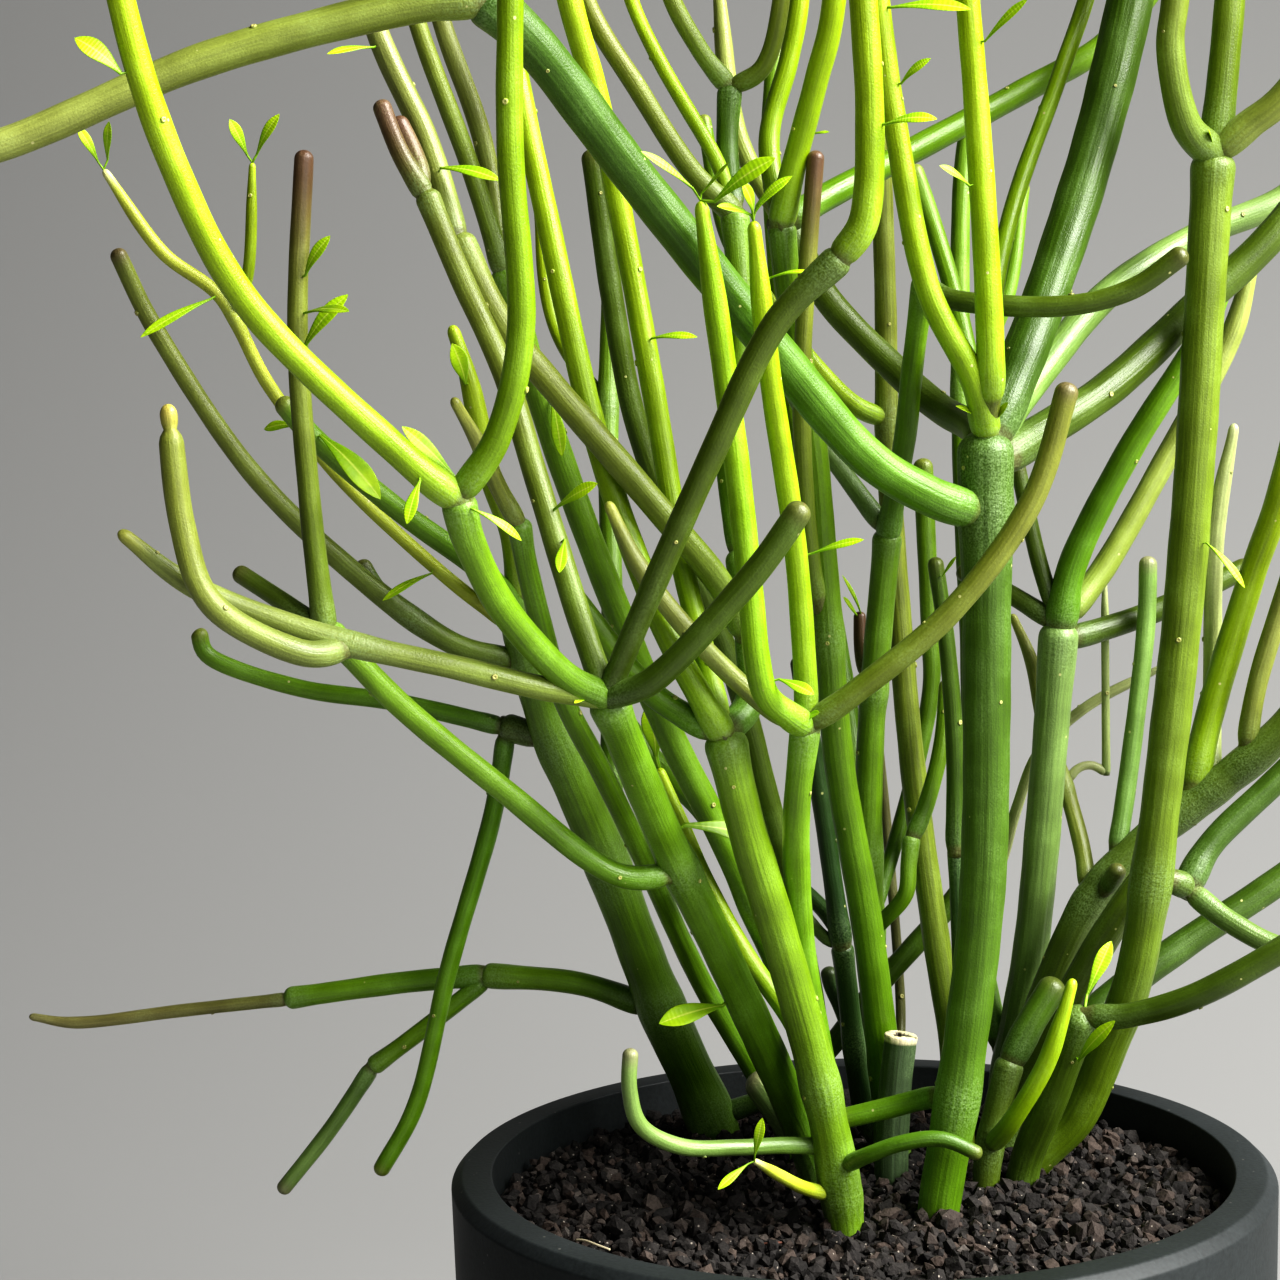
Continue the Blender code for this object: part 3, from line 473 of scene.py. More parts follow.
def grow_stem(name, skin, shoots):
    """All the shoots of one cutting as one piece, in place of the frame's plain solid. An arm grows
    from whichever earlier shoot its foot lies nearest to."""
    curves = [smooth_route(points) for _, _, _, points in shoots]
    joints = [[] for _ in shoots]
    outside = [None] * len(shoots)
    for arm in range(1, len(shoots)):
        gaps = [np.linalg.norm(curve - curves[arm][0], axis=1) for curve in curves[:arm]]
        parent = int(np.argmin([gap.min() for gap in gaps]))
        joints[parent].append((run_along(curves[parent])[gaps[parent].argmin()], shoots[arm][1] * MM))
        run = run_along(curves[parent])
        core = curves[parent][run < run[-1] - 0.5 * MM * shoots[parent][2]]
        away = np.linalg.norm(curves[arm][:, None] - core[None], axis=2).min(axis=1)
        outside[arm] = run_along(curves[arm])[np.argmax(away > 0.5 * MM * shoots[parent][2])]
    parts = []
    for (tone, girth_start, girth_end, _), curve, met, away in zip(shoots, curves, joints, outside):
        parts.append(grow_shoot(curve, tone, girth_start, girth_end, met, away))
    marks = np.vstack([part[3] for part in parts])
    piece = add_piece(name + "_skin", *join_shells(parts), skin)
    for key, kind, field, values in (("tone", "FLOAT_COLOR", "color", marks[:, :4]),
                                     ("bloom", "FLOAT", "value", marks[:, 4]),
                                     ("skin_place", "FLOAT_VECTOR", "vector",
                                      np.vstack([part[4] for part in parts]))):
        piece.data.attributes.new(key, kind, "POINT").data.foreach_set(field, np.ravel(values))
    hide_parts(name)
    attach(piece, "root")
    shoot_lines.extend(curves)
    at_grit = np.abs(curves[0][:, 2] - GRIT_EDGE).argmin()
    stem_feet.append((*curves[0][at_grit, :2], 0.5 * MM * shoots[0][1]))


# Drawn noise: noise stretched along one way, as fibre lines up a stem or as wrinkles round it.
drawn_noise, given, wanted = new_group(
    "drawn_noise", {"Place": "Vector", "Stretch": "Vector", "Sharpness": "Float"}, {"Lines": "Float"})
drawn = node(drawn_noise, "ShaderNodeVectorMath", {0: given["Place"], 1: given["Stretch"]},
             operation="MULTIPLY")
lines = node(drawn_noise, "ShaderNodeTexNoise", {"Vector": drawn.outputs[0], "Scale": 1.0, "Detail": 3.0,
                                                 "Roughness": 0.55})
centred = node(drawn_noise, "ShaderNodeMath", {0: lines.outputs[0], 1: 0.5}, operation="SUBTRACT")
steeper = node(drawn_noise, "ShaderNodeMath", {0: centred.outputs[0], 1: given["Sharpness"], 2: 0.5},
               operation="MULTIPLY_ADD", use_clamp=True)
drawn_noise.links.new(steeper.outputs[0], wanted["Lines"])


# Pale wax, part real and part painted sheen: whitish patches that also stand for soft highlights.
WAX_AND_SHEEN_GREEN = paint(150, 176, 122)
FLECK_CREAM = paint(190, 190, 130)
SKIN_SHINE = 0.55


def stem_skin(name, line_depth, wax_and_sheen_amount, roughness):
    """The skin of a stem: its shoots' own tones, multiplied by fibre lines and a slow mottling, then
    covered with pale wax and painted sheen where noise and the knuckles' bloom say, and sprinkled
    with cream flecks."""
    skin, tree, shader = new_skin(name, roughness, SKIN_SHINE)
    tone = node(tree, "ShaderNodeAttribute", {}, attribute_name="tone").outputs["Color"]
    glow = node(tree, "ShaderNodeAttribute", {}, attribute_name="bloom").outputs["Fac"]
    place = node(tree, "ShaderNodeAttribute", {}, attribute_name="skin_place").outputs["Vector"]
    lines = place_group(tree, drawn_noise, Place=place, Stretch=(1.6, 1.6, 0.05), Sharpness=3.5)["Lines"]
    flutes = place_group(tree, drawn_noise, Place=place, Stretch=(0.55, 0.55, 0.03), Sharpness=2.5)["Lines"]
    wrinkles = place_group(tree, drawn_noise, Place=place, Stretch=(0.35, 0.35, 1.1), Sharpness=2.0)["Lines"]
    slow = node(tree, "ShaderNodeTexNoise", {"Vector": place, "Scale": 0.09, "Detail": 3.0}).outputs[0]
    pits = node(tree, "ShaderNodeTexNoise", {"Vector": place, "Scale": 2.2, "Detail": 3.0}).outputs[0]
    flecks = place_group(tree, specks, Place=place, Cells=0.13, Size=0.05)["Mask"]
    for mask, depth in ((lines, line_depth), (flutes, 0.4 * line_depth), (pits, 0.25)):
        darker = node(tree, "ShaderNodeMapRange", {"Value": mask, "To Min": 1.0 - depth,
                                                   "To Max": 1.0 + 0.5 * depth})
        tone = blend(tree, "MULTIPLY", 1.0, tone, darker.outputs[0])
    patch = node(tree, "ShaderNodeMapRange", {"Value": slow, "From Min": 0.3, "From Max": 0.7,
                                              "To Min": 0.8, "To Max": 1.18})
    colour = blend(tree, "MULTIPLY", 1.0, tone, patch.outputs[0])
    # The wax mask: real wax at the knuckles, and patches by noise that are partly painted sheen.
    pale_wax_and_sheen = node(tree, "ShaderNodeMath", {0: spread(tree, glow, 0.0, 1.0, 0.0, 0.85),
                                        1: spread(tree, slow, 0.5, 0.75, 0.0, wax_and_sheen_amount)}, operation="ADD")
    pale_wax_and_sheen = node(tree, "ShaderNodeMath", {0: pale_wax_and_sheen.outputs[0], 1: spread(tree, pits, 0.36, 0.68, 0.0, 0.5)},
               operation="MULTIPLY", use_clamp=True)
    colour = blend(tree, "MIX", pale_wax_and_sheen.outputs[0], colour, WAX_AND_SHEEN_GREEN)
    colour = blend(tree, "MIX", flecks, colour, FLECK_CREAM)
    tree.links.new(colour, shader.inputs["Base Color"])
    sheen = spread(tree, slow, 0.3, 0.7, roughness - 0.05, roughness + 0.08)
    tree.links.new(sheen, shader.inputs["Roughness"])
    fold = node(tree, "ShaderNodeMath", {0: wrinkles, 1: spread(tree, glow, 0.3, 1.0, 0.0, 0.4)},
                operation="MULTIPLY")
    relief = node(tree, "ShaderNodeMath", {0: lines, 1: 0.16, 2: fold.outputs[0]}, operation="MULTIPLY_ADD")
    relief = node(tree, "ShaderNodeMath", {0: pits, 1: 0.35, 2: relief.outputs[0]}, operation="MULTIPLY_ADD")
    ribs = node(tree, "ShaderNodeBump", {"Height": relief.outputs[0], "Distance": 0.35 * MM, "Strength": 0.7})
    tree.links.new(ribs.outputs[0], shader.inputs["Normal"])
    return skin


green_skin = stem_skin("green_skin", 0.14, 0.45, 0.39)
bright_skin = stem_skin("bright_skin", 0.1, 0.12, 0.34)
olive_skin = stem_skin("olive_skin", 0.26, 0.5, 0.36)
grey_skin = stem_skin("grey_skin", 0.26, 0.9, 0.58)
stem_feet = []
shoot_lines = []

# ---- The front stem -------------------------------------------------------------------------
# The foremost cutting. It throws a second thin trunk low down, a bright shoot, a hooked grey-green one,
# a young yellow one and an arched twig near the grit, and forks again and again at its two tops.
grow_stem("stem_front", green_skin, [
    ("moss", 9.0, 8.6, [(-5, -31, 142), (-6, -32, 172), (-11, -37, 205), (-20, -45, 242), (-28, -53, 271),
     (-33, -58, 294)]),
    ("bright", 5.8, 5.0, [(-33, -58, 293), (-38, -60, 302), (-47, -58, 321), (-59, -54, 358),
     (-69, -50, 408), (-75, -48, 441), (-78, -46, 468)]),
    ("green", 6.0, 5.0, [(-33, -58, 293), (-41, -56, 297), (-51, -55, 305), (-66, -53, 325)]),
    ("green", 6.5, 6.0, [(-33, -58, 293), (-27, -51, 299), (-26, -46, 311), (-28, -42, 333)]),
    ("green", 5.0, 6.0, [(-28, -42, 331), (-30, -38, 355), (-26, -34, 379), (-27, -30, 409)]),
    ("olive", 6.0, 6.0, [(-26, -46, 311), (-33, -52, 326), (-47, -58, 344), (-69, -62, 371),
     (-79, -62, 384), (-88, -60, 403)]),
    ("pale", 6.0, 4.4, [(-88, -60, 401), (-94, -55, 423), (-104, -56, 447), (-110, -57, 474)]),
    ("bright", 5.0, 5.6, [(-33, -58, 293), (-36, -54, 308), (-41, -48, 331), (-46, -44, 366),
     (-52, -42, 404), (-57, -45, 432), (-63, -50, 456), (-66, -52, 486)]),
    ("bright", 5.0, 4.0, [(-12, -37, 208), (-17, -23, 220), (-28, -17, 236), (-38, -15, 256),
     (-47, -15, 280)]),
    ("green", 6.5, 6.0, [(-9, -34, 186), (-9, -27, 201), (-15, -36, 238), (-17, -52, 271),
     (-15, -62, 296)]),
    ("lime", 5.8, 5.0, [(-15, -62, 295), (-19, -66, 298), (-24, -70, 303), (-26, -73, 312),
     (-27, -74, 325), (-30, -77, 358), (-36, -83, 407)]),
    ("bright", 5.2, 4.6, [(-15, -62, 295), (-15, -62, 307), (-17, -66, 336), (-22, -73, 372),
     (-25, -78, 403)]),
    ("pale", 4.6, 4.0, [(-15, -62, 295), (-24, -62, 300), (-38, -64, 314), (-50, -65, 330),
     (-57, -65, 345)]),
    ("olive", 5.4, 5.0, [(-15, -62, 295), (-4, -66, 303), (16, -70, 320), (33, -72, 343),
     (41, -74, 368)]),
    ("sage", 4.0, 3.6, [(-8, -32, 192.5), (-20, -37, 194.5), (-32, -43, 196), (-44, -48, 198),
     (-53, -52, 204), (-55.5, -54, 213), (-55, -54, 222.5)]),
    ("yellow", 3.6, 2.4, [(-8, -33, 181), (-16, -39, 185), (-22, -47, 190.5), (-28, -57, 197)]),
    ("trunk", 4.0, 3.4, [(-8, -35, 188), (-2, -42, 193), (6, -46, 197), (15, -47, 198), (24, -47, 194)]),
    ("olive", 5.0, 4.0, [(-27, -30, 408), (-37, -34, 418), (-48, -38, 435), (-59, -42, 454),
     (-65, -44, 480)]),
    ("bright", 3.6, 3.2, [(-27, -30, 408), (-31, -26, 421), (-43, -24, 443), (-50, -24, 460),
     (-54, -24, 484)]),
    ("deep", 5.2, 5.0, [(-27, -30, 408), (-28, -22, 423), (-27, -20, 438)]),
    ("olive", 4.4, 3.8, [(-27, -20, 437), (-34, -22, 446), (-41, -24, 460), (-45, -25, 482)]),
    ("olive", 4.2, 3.8, [(-27, -20, 437), (-19, -24, 442), (-15, -28, 458), (-12, -30, 488)]),
])

# ---- The front left stem --------------------------------------------------------------------
# Leans left to a swollen knuckle, from which a long pale arm, a joint with two long bright shoots, an
# olive arm and two dark ones spring. A green side arm and a short stub leave it lower down.
grow_stem("stem_front_left", green_skin, [
    ("green", 9.0, 8.0, [(-8, -7, 142), (-10, -8, 176), (-18, -17, 200), (-34, -34, 240), (-46, -50, 269),
     (-58, -85, 305)]),
    ("pale", 5.2, 4.6, [(-58, -85, 305), (-71, -92, 308), (-88, -96, 313), (-113, -100, 320),
     (-139, -104, 331), (-154, -106, 343)]),
    ("budding", 5.4, 5.0, [(-109, -99, 318), (-119, -106, 318), (-135, -110, 328), (-140.5, -110, 344),
     (-142.5, -110, 368)]),
    ("moss", 6.0, 6.5, [(-58, -85, 305), (-67, -92, 311), (-78, -100, 325), (-84, -108, 339),
     (-86, -112, 349)]),
    ("bright", 6.0, 5.0, [(-86, -112, 348), (-96, -118, 357), (-122, -130, 385), (-134, -140, 411),
     (-141, -148, 440), (-145, -153, 478)]),
    ("lime", 5.6, 4.8, [(-86, -112, 348), (-77, -116, 361), (-72, -120, 382), (-73, -124, 414),
     (-72, -128, 442), (-70, -131, 486)]),
    ("olive", 5.4, 5.0, [(-58, -85, 305), (-64, -82, 324), (-72, -76, 352), (-78, -72, 373),
     (-87, -68, 394), (-94, -66, 412)]),
    ("browned", 4.2, 4.0, [(-94, -66, 411), (-99, -66, 420), (-103, -66, 431)]),
    ("browned", 4.2, 4.0, [(-94, -66, 411), (-96, -62, 419), (-100, -61, 428)]),
    ("dark", 5.0, 5.6, [(-58, -85, 305), (-48, -94, 328), (-36, -102, 354), (-23, -108, 380),
     (-9, -112, 394)]),
    ("bright", 6.0, 5.0, [(-10, -112, 393), (-5, -114, 401), (-4, -116, 419), (-5, -118, 441),
     (-8, -119, 490)]),
    ("dark", 5.6, 5.4, [(-58, -85, 305), (-47, -92, 310), (-28, -98, 330), (-17, -102, 345)]),
    ("green", 5.4, 5.4, [(-43, -46, 260), (-59, -50, 262), (-82, -56, 282), (-103, -64, 302),
     (-118, -70, 320)]),
    ("browned", 5.0, 4.0, [(-118, -70, 319), (-120, -72, 347), (-121, -74, 383), (-118, -76, 420)]),
    ("dark", 4.2, 4.0, [(-118, -70, 319), (-127, -66, 325), (-138, -62, 332)]),
    ("sage", 8.0, 8.0, [(-12, -10, 182), (-18, -6, 192), (-26, -4, 203)]),
])

# ---- The thin left stem ---------------------------------------------------------------------
# A long thin cutting rooted at the back of the clump, with dry striped skin. It leans forward and left
# between the others, and ends in one short pale joint.
grow_stem("stem_left_thin", olive_skin, [
    ("green", 5.5, 5.0, [(-14, 24, 142), (-16, 22, 178), (-38, 8, 224), (-50, -10, 255), (-60, -25, 280),
     (-69, -36, 301), (-75, -43, 327), (-77, -48, 341)]),
    ("pale", 4.2, 3.8, [(-77, -48, 340), (-81, -50, 348), (-85, -54, 358), (-90, -58, 368)]),
])

# ---- The inner left stem --------------------------------------------------------------------
# Runs up behind the front left one and forks into two thin shoots at its top. One side arm leaves it
# below the middle.
grow_stem("stem_left_inner", green_skin, [
    ("green", 7.5, 6.0, [(-4, 8, 142), (-4, 7, 176), (-14, -4, 216), (-30, -18, 258), (-45, -28, 291),
     (-59, -34, 328), (-71, -38, 365), (-79, -42, 397)]),
    ("olive", 4.6, 3.8, [(-79, -42, 396), (-86, -44, 420), (-96, -48, 450), (-102, -50, 478)]),
    ("pale", 4.6, 4.2, [(-79, -42, 396), (-83, -38, 425), (-92, -36, 454), (-96, -34, 484)]),
    ("green", 6.0, 5.4, [(-24, -13, 246), (-35, -4, 266), (-48, 4, 279), (-61, 8, 297)]),
])

# ---- The inner thin stem --------------------------------------------------------------------
# A single unforked rod in the middle of the clump, painted dark for the shade it stands in. It leans
# forward and left.
grow_stem("stem_inner_thin", green_skin, [
    ("dark", 6.2, 5.0, [(-6, 19, 142), (-6, 18, 182), (-13, 8, 236), (-22, -6, 275), (-29, -16, 303),
     (-39, -24, 329), (-50, -28, 360), (-55, -30, 389), (-59, -32, 423)]),
])

# ---- The inner bright stem ------------------------------------------------------------------
# A straight trunk whose whorl of young shoots stands in the full light. A dark knuckled shoot with
# three stubs runs up beside it in the shade; its dark colour is painted shade.
grow_stem("stem_inner_bright", bright_skin, [
    ("green", 8.8, 6.0, [(10, 21, 142), (10, 20, 176), (4, 8, 233), (-3, 0, 276), (-6, -8, 313),
     (-9, -12, 356), (-14, -16, 389), (-16, -20, 407)]),
    ("browned", 4.4, 4.0, [(-6, -7, 309), (-10, -14, 328), (-12, -20, 359), (-11, -24, 388),
     (-8, -26, 422)]),
    ("bright", 5.8, 5.0, [(-16, -20, 406), (-13, -24, 419), (-8, -30, 437), (-4, -34, 454),
     (-1, -36, 492)]),
    ("bright", 5.0, 4.4, [(-16, -20, 406), (-18, -14, 426), (-13, -12, 444), (-10, -12, 460),
     (-8, -10, 488)]),
    ("green", 6.4, 5.8, [(-16, -20, 406), (-4, -12, 413), (15, 0, 423), (44, 12, 438), (67, 18, 451),
     (86, 24, 474)]),
    ("shade", 5.6, 5.2, [(9, 20, 176), (4, 24, 183), (2, 25, 194), (0, 22, 212), (-2, 18, 230)]),
    ("shade", 5.0, 4.4, [(-2, 18, 229), (-5, 17, 254), (-8, 15, 276), (-12, 12, 303)]),
    ("sage", 3.2, 3.0, [(-2, 18, 229), (-6, 20, 231), (-9, 23, 234), (-12, 25, 238)]),
    ("shade", 4.4, 4.0, [(-2, 18, 232), (-5, 24, 236), (-9, 28, 240), (-13, 31, 243)]),
    ("shade", 4.4, 4.2, [(1, 24, 203), (-1, 26, 210), (-4, 27, 217), (-5, 27, 222)]),
])

# ---- The cut stump --------------------------------------------------------------------------
# A stem that was sawn off four centimetres above the grit: dry grey skin, a ragged cream ring of bark
# and a sunken brown pith.
grow_stem("stem_cut_stump", grey_skin, [
    ("sawn", 8.6, 8.0, [(8, 3, 142), (8, 3, 172), (9, 3, 193), (11, 3, 210)]),
])

# ---- The centre stem ------------------------------------------------------------------------
# A thick trunk, finely ridged, that swells towards its wrinkled knuckle. A big arm goes far to the left
# from there, and a whorl of dark, sage and bright shoots crowns it.
grow_stem("stem_centre", green_skin, [
    ("trunk", 9.6, 11.4, [(14, -26, 142), (16, -26, 172), (22, -28, 209), (27, -32, 254), (28, -36, 308),
     (28, -38, 358)]),
    ("trunk", 8.6, 9.0, [(28, -38, 339), (14, -46, 344), (-1, -52, 354), (-19, -60, 375), (-48, -76, 411),
     (-68, -90, 437), (-80, -98, 448)]),
    ("pale", 7.6, 5.6, [(-80, -98, 447), (-95, -100, 445), (-134, -104, 435), (-174, -108, 419),
     (-196, -111, 417), (-226, -113, 430)]),
    ("green", 6.0, 5.0, [(-80, -98, 447), (-94, -108, 464), (-100, -114, 498)]),
    ("bright", 6.4, 5.0, [(-80, -98, 447), (-76, -96, 470), (-68, -92, 512)]),
    ("dark", 7.6, 6.6, [(28, -38, 354), (28, -22, 358), (22, -2, 363), (12, 8, 373), (-3, 14, 390),
     (-12, 18, 408)]),
    ("pale", 5.0, 4.4, [(-12, 18, 407), (-24, 22, 432), (-28, 24, 470)]),
    ("deep", 10.0, 11.4, [(28, -38, 354), (35, -32, 368), (44, -22, 387), (58, -8, 422), (69, 0, 460),
     (74, 4, 490)]),
    ("olive", 6.0, 5.0, [(74, 4, 488), (66, 0, 510), (64, -4, 545)]),
    ("bright", 6.4, 5.0, [(74, 4, 488), (86, 10, 508), (92, 14, 540)]),
    ("sage", 7.6, 6.4, [(28, -38, 354), (42, -20, 369), (62, -4, 389), (87, 12, 403), (110, 22, 412),
     (136, 30, 430)]),
    ("dark", 9.0, 7.0, [(29, -38, 350), (43, -24, 357), (61, -12, 367), (82, -1, 384), (106, 3, 406),
     (128, 6, 440)]),
    ("bright", 5.0, 4.4, [(128, 6, 438), (134, 6, 462), (134, 4, 492)]),
    ("bright", 6.0, 4.6, [(28, -40, 358), (24, -47, 370), (14, -50, 390), (8, -52, 421), (4, -54, 451),
     (2, -56, 490)]),
    ("bright", 6.5, 4.6, [(28, -40, 358), (28, -48, 371), (27, -51, 395), (25, -52, 429), (23, -54, 454),
     (20, -56, 500)]),
    ("lime", 4.4, 3.8, [(28, -36, 356), (31, -18, 376), (39, -6, 408), (52, 4, 440), (62, 12, 466),
     (68, 14, 496)]),
    ("green", 4.6, 4.2, [(28, -36, 356), (25, -20, 383), (21, -10, 403), (16, -6, 420)]),
    ("green", 5.2, 5.0, [(20, -28, 203), (14, -20, 200), (5, -17, 197), (-7, -15.5, 194)]),
])

# ---- The back centre stem -------------------------------------------------------------------
# Stands behind the middle, with one arm that arches to the right, a jointed one in front of the olive
# stem, and thin ones and a brown stub at the back.
grow_stem("stem_back_centre", green_skin, [
    ("green", 7.4, 6.6, [(9, 39, 142), (9, 38, 179), (6, 28, 239), (6, 18, 281), (10, 6, 334)]),
    ("green", 5.4, 5.0, [(10, 6, 333), (13, -8, 356), (14, -17, 372), (16, -27, 393)]),
    ("dark", 4.8, 4.6, [(16, -27, 391), (23, -34, 387), (44, -42, 385), (59, -46, 388), (71, -50, 396)]),
    ("sage", 4.8, 4.2, [(10, 6, 333), (1, 10, 346), (-7, 12, 358), (-14, 12, 372)]),
    ("green", 6.0, 5.0, [(6, 26, 250), (0, 50, 305), (-8, 78, 365), (-12, 92, 425), (-10, 96, 462)]),
    ("green", 4.6, 4.0, [(-10, 84, 388), (-24, 92, 410), (-30, 98, 444)]),
    ("green", 4.0, 4.0, [(6, 27, 231), (9, 21, 235), (14, 17, 242), (15, 17, 250), (16, 18, 257)]),
    ("green", 4.4, 3.8, [(16, 18, 256), (20, 19, 265), (24, 21, 279), (26, 24, 295)]),
    ("green", 3.8, 5.2, [(6, 29, 232), (12, 36, 247), (19, 43, 267), (24, 43, 290), (24, 43, 308),
     (23, 45, 350)]),
    ("straw", 2.6, 2.6, [(10, 39, 184), (14, 46, 192), (16, 54, 206), (14, 58, 246), (12, 58, 270),
     (10, 58, 292)]),
    ("browned", 3.2, 3.0, [(6, 15, 294), (4, 18, 302), (4, 20, 313)]),
])

# ---- The olive stem -------------------------------------------------------------------------
# An old brownish rod with dry stripes that stands almost straight. It has one bright side shoot high
# up, and a dark arm in two joints low down, whose lower joint is painted shade.
grow_stem("stem_back_olive", olive_skin, [
    ("olive", 7.6, 4.8, [(28, 28, 142), (28, 28, 188), (23, 30, 228), (18, 32, 271), (15, 34, 314),
     (13, 34, 355), (13, 34, 390), (12, 32, 430), (10, 32, 474)]),
    ("bright", 5.0, 4.6, [(13, 34, 360), (3, 28, 365), (-9, 24, 378), (-18, 22, 393)]),
    ("shade", 3.6, 3.6, [(28, 28, 194), (28, 22, 209), (27, 16, 232), (26, 12, 255)]),
    ("deep", 4.8, 3.8, [(26, 12, 254), (26, 10, 279), (24, 6, 305), (21, 4, 327)]),
])

# ---- The back right stem --------------------------------------------------------------------
# A grey-green trunk that ends in a whorl of five arms. A long arm leans back from low down, with a side
# shoot near its top and a thin milky twig at its foot.
grow_stem("stem_back_right", green_skin, [
    ("sage", 9.4, 9.0, [(43, 46, 142), (43, 45, 184), (49, 42, 222), (53, 38, 267), (56, 34, 308)]),
    ("green", 7.6, 5.6, [(56, 34, 307), (60, 32, 325), (73, 26, 352), (89, 22, 378), (95, 22, 392)]),
    ("pale", 6.4, 5.6, [(56, 34, 307), (69, 40, 322), (85, 44, 348), (102, 46, 378), (109, 46, 402)]),
    ("dark", 4.4, 4.0, [(56, 34, 307), (51, 36, 324), (46, 38, 349)]),
    ("dark", 5.2, 4.8, [(56, 34, 307), (44, 40, 315), (32, 48, 321)]),
    ("dark", 6.4, 5.6, [(55, 34, 303), (67, 40, 305), (85, 46, 310), (109, 52, 320)]),
    ("green", 6.0, 5.0, [(43, 45, 188), (38, 54, 215), (37, 62, 250), (38, 72, 300), (38, 84, 350),
     (40, 94, 420), (46, 100, 452)]),
    ("green", 4.4, 4.0, [(38, 87, 366), (52, 94, 392), (58, 101, 424)]),
    ("milky", 3.0, 2.8, [(38, 60, 236), (44, 62, 241), (48, 59, 256), (54, 56, 272), (67, 55, 284),
     (86, 52, 294)]),
])

# ---- The right stem -------------------------------------------------------------------------
# The tall right-hand trunk, kinked at a ring low down, with three arms at its top. A short dark joint
# below its middle carries two arms that spread to the right.
grow_stem("stem_right", green_skin, [
    ("mellow", 9.4, 9.4, [(38, 13, 142), (43, 13, 171), (55, 10, 186), (62, 6, 204), (69, 0, 229),
     (75, -6, 280), (80, -10, 335), (85, -14, 421)]),
    ("olive", 7.0, 5.6, [(85, -14, 420), (77, -20, 427), (73, -24, 443), (74, -26, 457), (76, -28, 494)]),
    ("mellow", 7.6, 6.0, [(85, -14, 420), (87, -14, 437), (89, -14, 458), (92, -14, 500)]),
    ("pale", 7.0, 5.6, [(85, -14, 420), (92, -18, 426), (101, -22, 434), (116, -28, 458),
     (120, -30, 492)]),
    ("dark", 5.5, 5.5, [(73, -3, 249), (82, 2, 245)]),
    ("deep", 6.6, 5.4, [(81, 2, 245), (89, 6, 256), (108, 9, 273), (134, 12, 300), (146, 14, 332)]),
    ("sage", 5.6, 5.0, [(81, 2, 245), (91, -4, 237), (104, -8, 231), (124, -12, 230), (136, -14, 242)]),
])

# ---- The low right stem ---------------------------------------------------------------------
# Leans right just above the grit, with two more dark arms beside it. A row of upright shoots stands
# along them, and two thin cream twigs branch off behind.
grow_stem("stem_right_low", green_skin, [
    ("dark", 9.0, 8.0, [(38, 30, 142), (39, 30, 180), (49, 28, 209), (62, 30, 236), (78, 30, 253),
     (96, 28, 267), (111, 25, 281), (132, 24, 308)]),
    ("bright", 5.0, 4.6, [(131, 24, 306), (142, 28, 330), (144, 28, 362)]),
    ("dark", 8.0, 7.6, [(38, 29, 184), (50, 16, 207), (64, 14, 232), (79, 16, 252)]),
    ("bright", 7.5, 6.0, [(87, 29, 259), (94, 31, 286), (104, 30, 319), (111, 28, 341), (120, 26, 382)]),
    ("pale", 5.2, 4.6, [(101, 27, 272), (104, 24, 293), (112, 20, 323), (117, 18, 350)]),
    ("sage", 5.0, 4.6, [(68, 30, 242), (73, 35, 266), (78, 36, 303), (79, 36, 324)]),
    ("pale", 4.6, 3.4, [(62, 30, 236), (62, 38, 248), (59, 46, 264), (54, 48, 280), (51, 48, 296),
     (46, 49, 309)]),
    ("milky", 5.0, 4.4, [(93, 28, 264), (96, 40, 286), (97, 40, 328), (102, 40, 357)]),
    ("deep", 8.6, 7.0, [(40, 31, 178), (50, 36, 190), (66, 41, 206), (89, 46, 221), (117, 50, 238),
     (142, 55, 256)]),
    ("bright", 5.0, 4.4, [(141, 55, 255), (150, 52, 272), (154, 50, 300)]),
    ("dark", 4.6, 4.6, [(62, 30, 236), (66, 26, 241), (69, 23, 247)]),
    ("milky", 2.4, 2.2, [(59, 46, 264), (62, 47, 268), (66, 48, 269), (70, 48, 267)]),
    ("milky", 2.2, 2.0, [(70, 48, 267), (70, 48, 288), (70, 48, 317)]),
])

# ---- The low front right stem ---------------------------------------------------------------
# A short dark foot in front of the low right stem, whose one long arm creeps out over the rim to the
# right.
grow_stem("stem_right_low_front", green_skin, [
    ("dark", 8.0, 8.0, [(38, 0, 142), (40, 0, 174), (46, -8, 196), (53, -16, 220)]),
    ("dark", 5.8, 6.6, [(53, -16, 218), (63, -20, 219), (78, -26, 225), (98, -30, 237), (122, -33, 253),
     (140, -34, 276)]),
])

# ---- The short front stem -------------------------------------------------------------------
# A short dark foot at the front of the clump, with one stubby dark shoot and one bright, narrow young
# one.
grow_stem("stem_short_front", green_skin, [
    ("dark", 6.6, 6.4, [(29, -6, 142), (30, -6, 172), (32, -6, 188), (37, -5, 206)]),
    ("deep", 7.0, 7.0, [(37, -5, 205), (42, -4, 214), (49, -2, 224)]),
    ("bright", 4.8, 4.4, [(31, -7, 184), (35, -17, 193), (42, -22, 207), (46, -24, 219), (49, -24, 229)]),
])

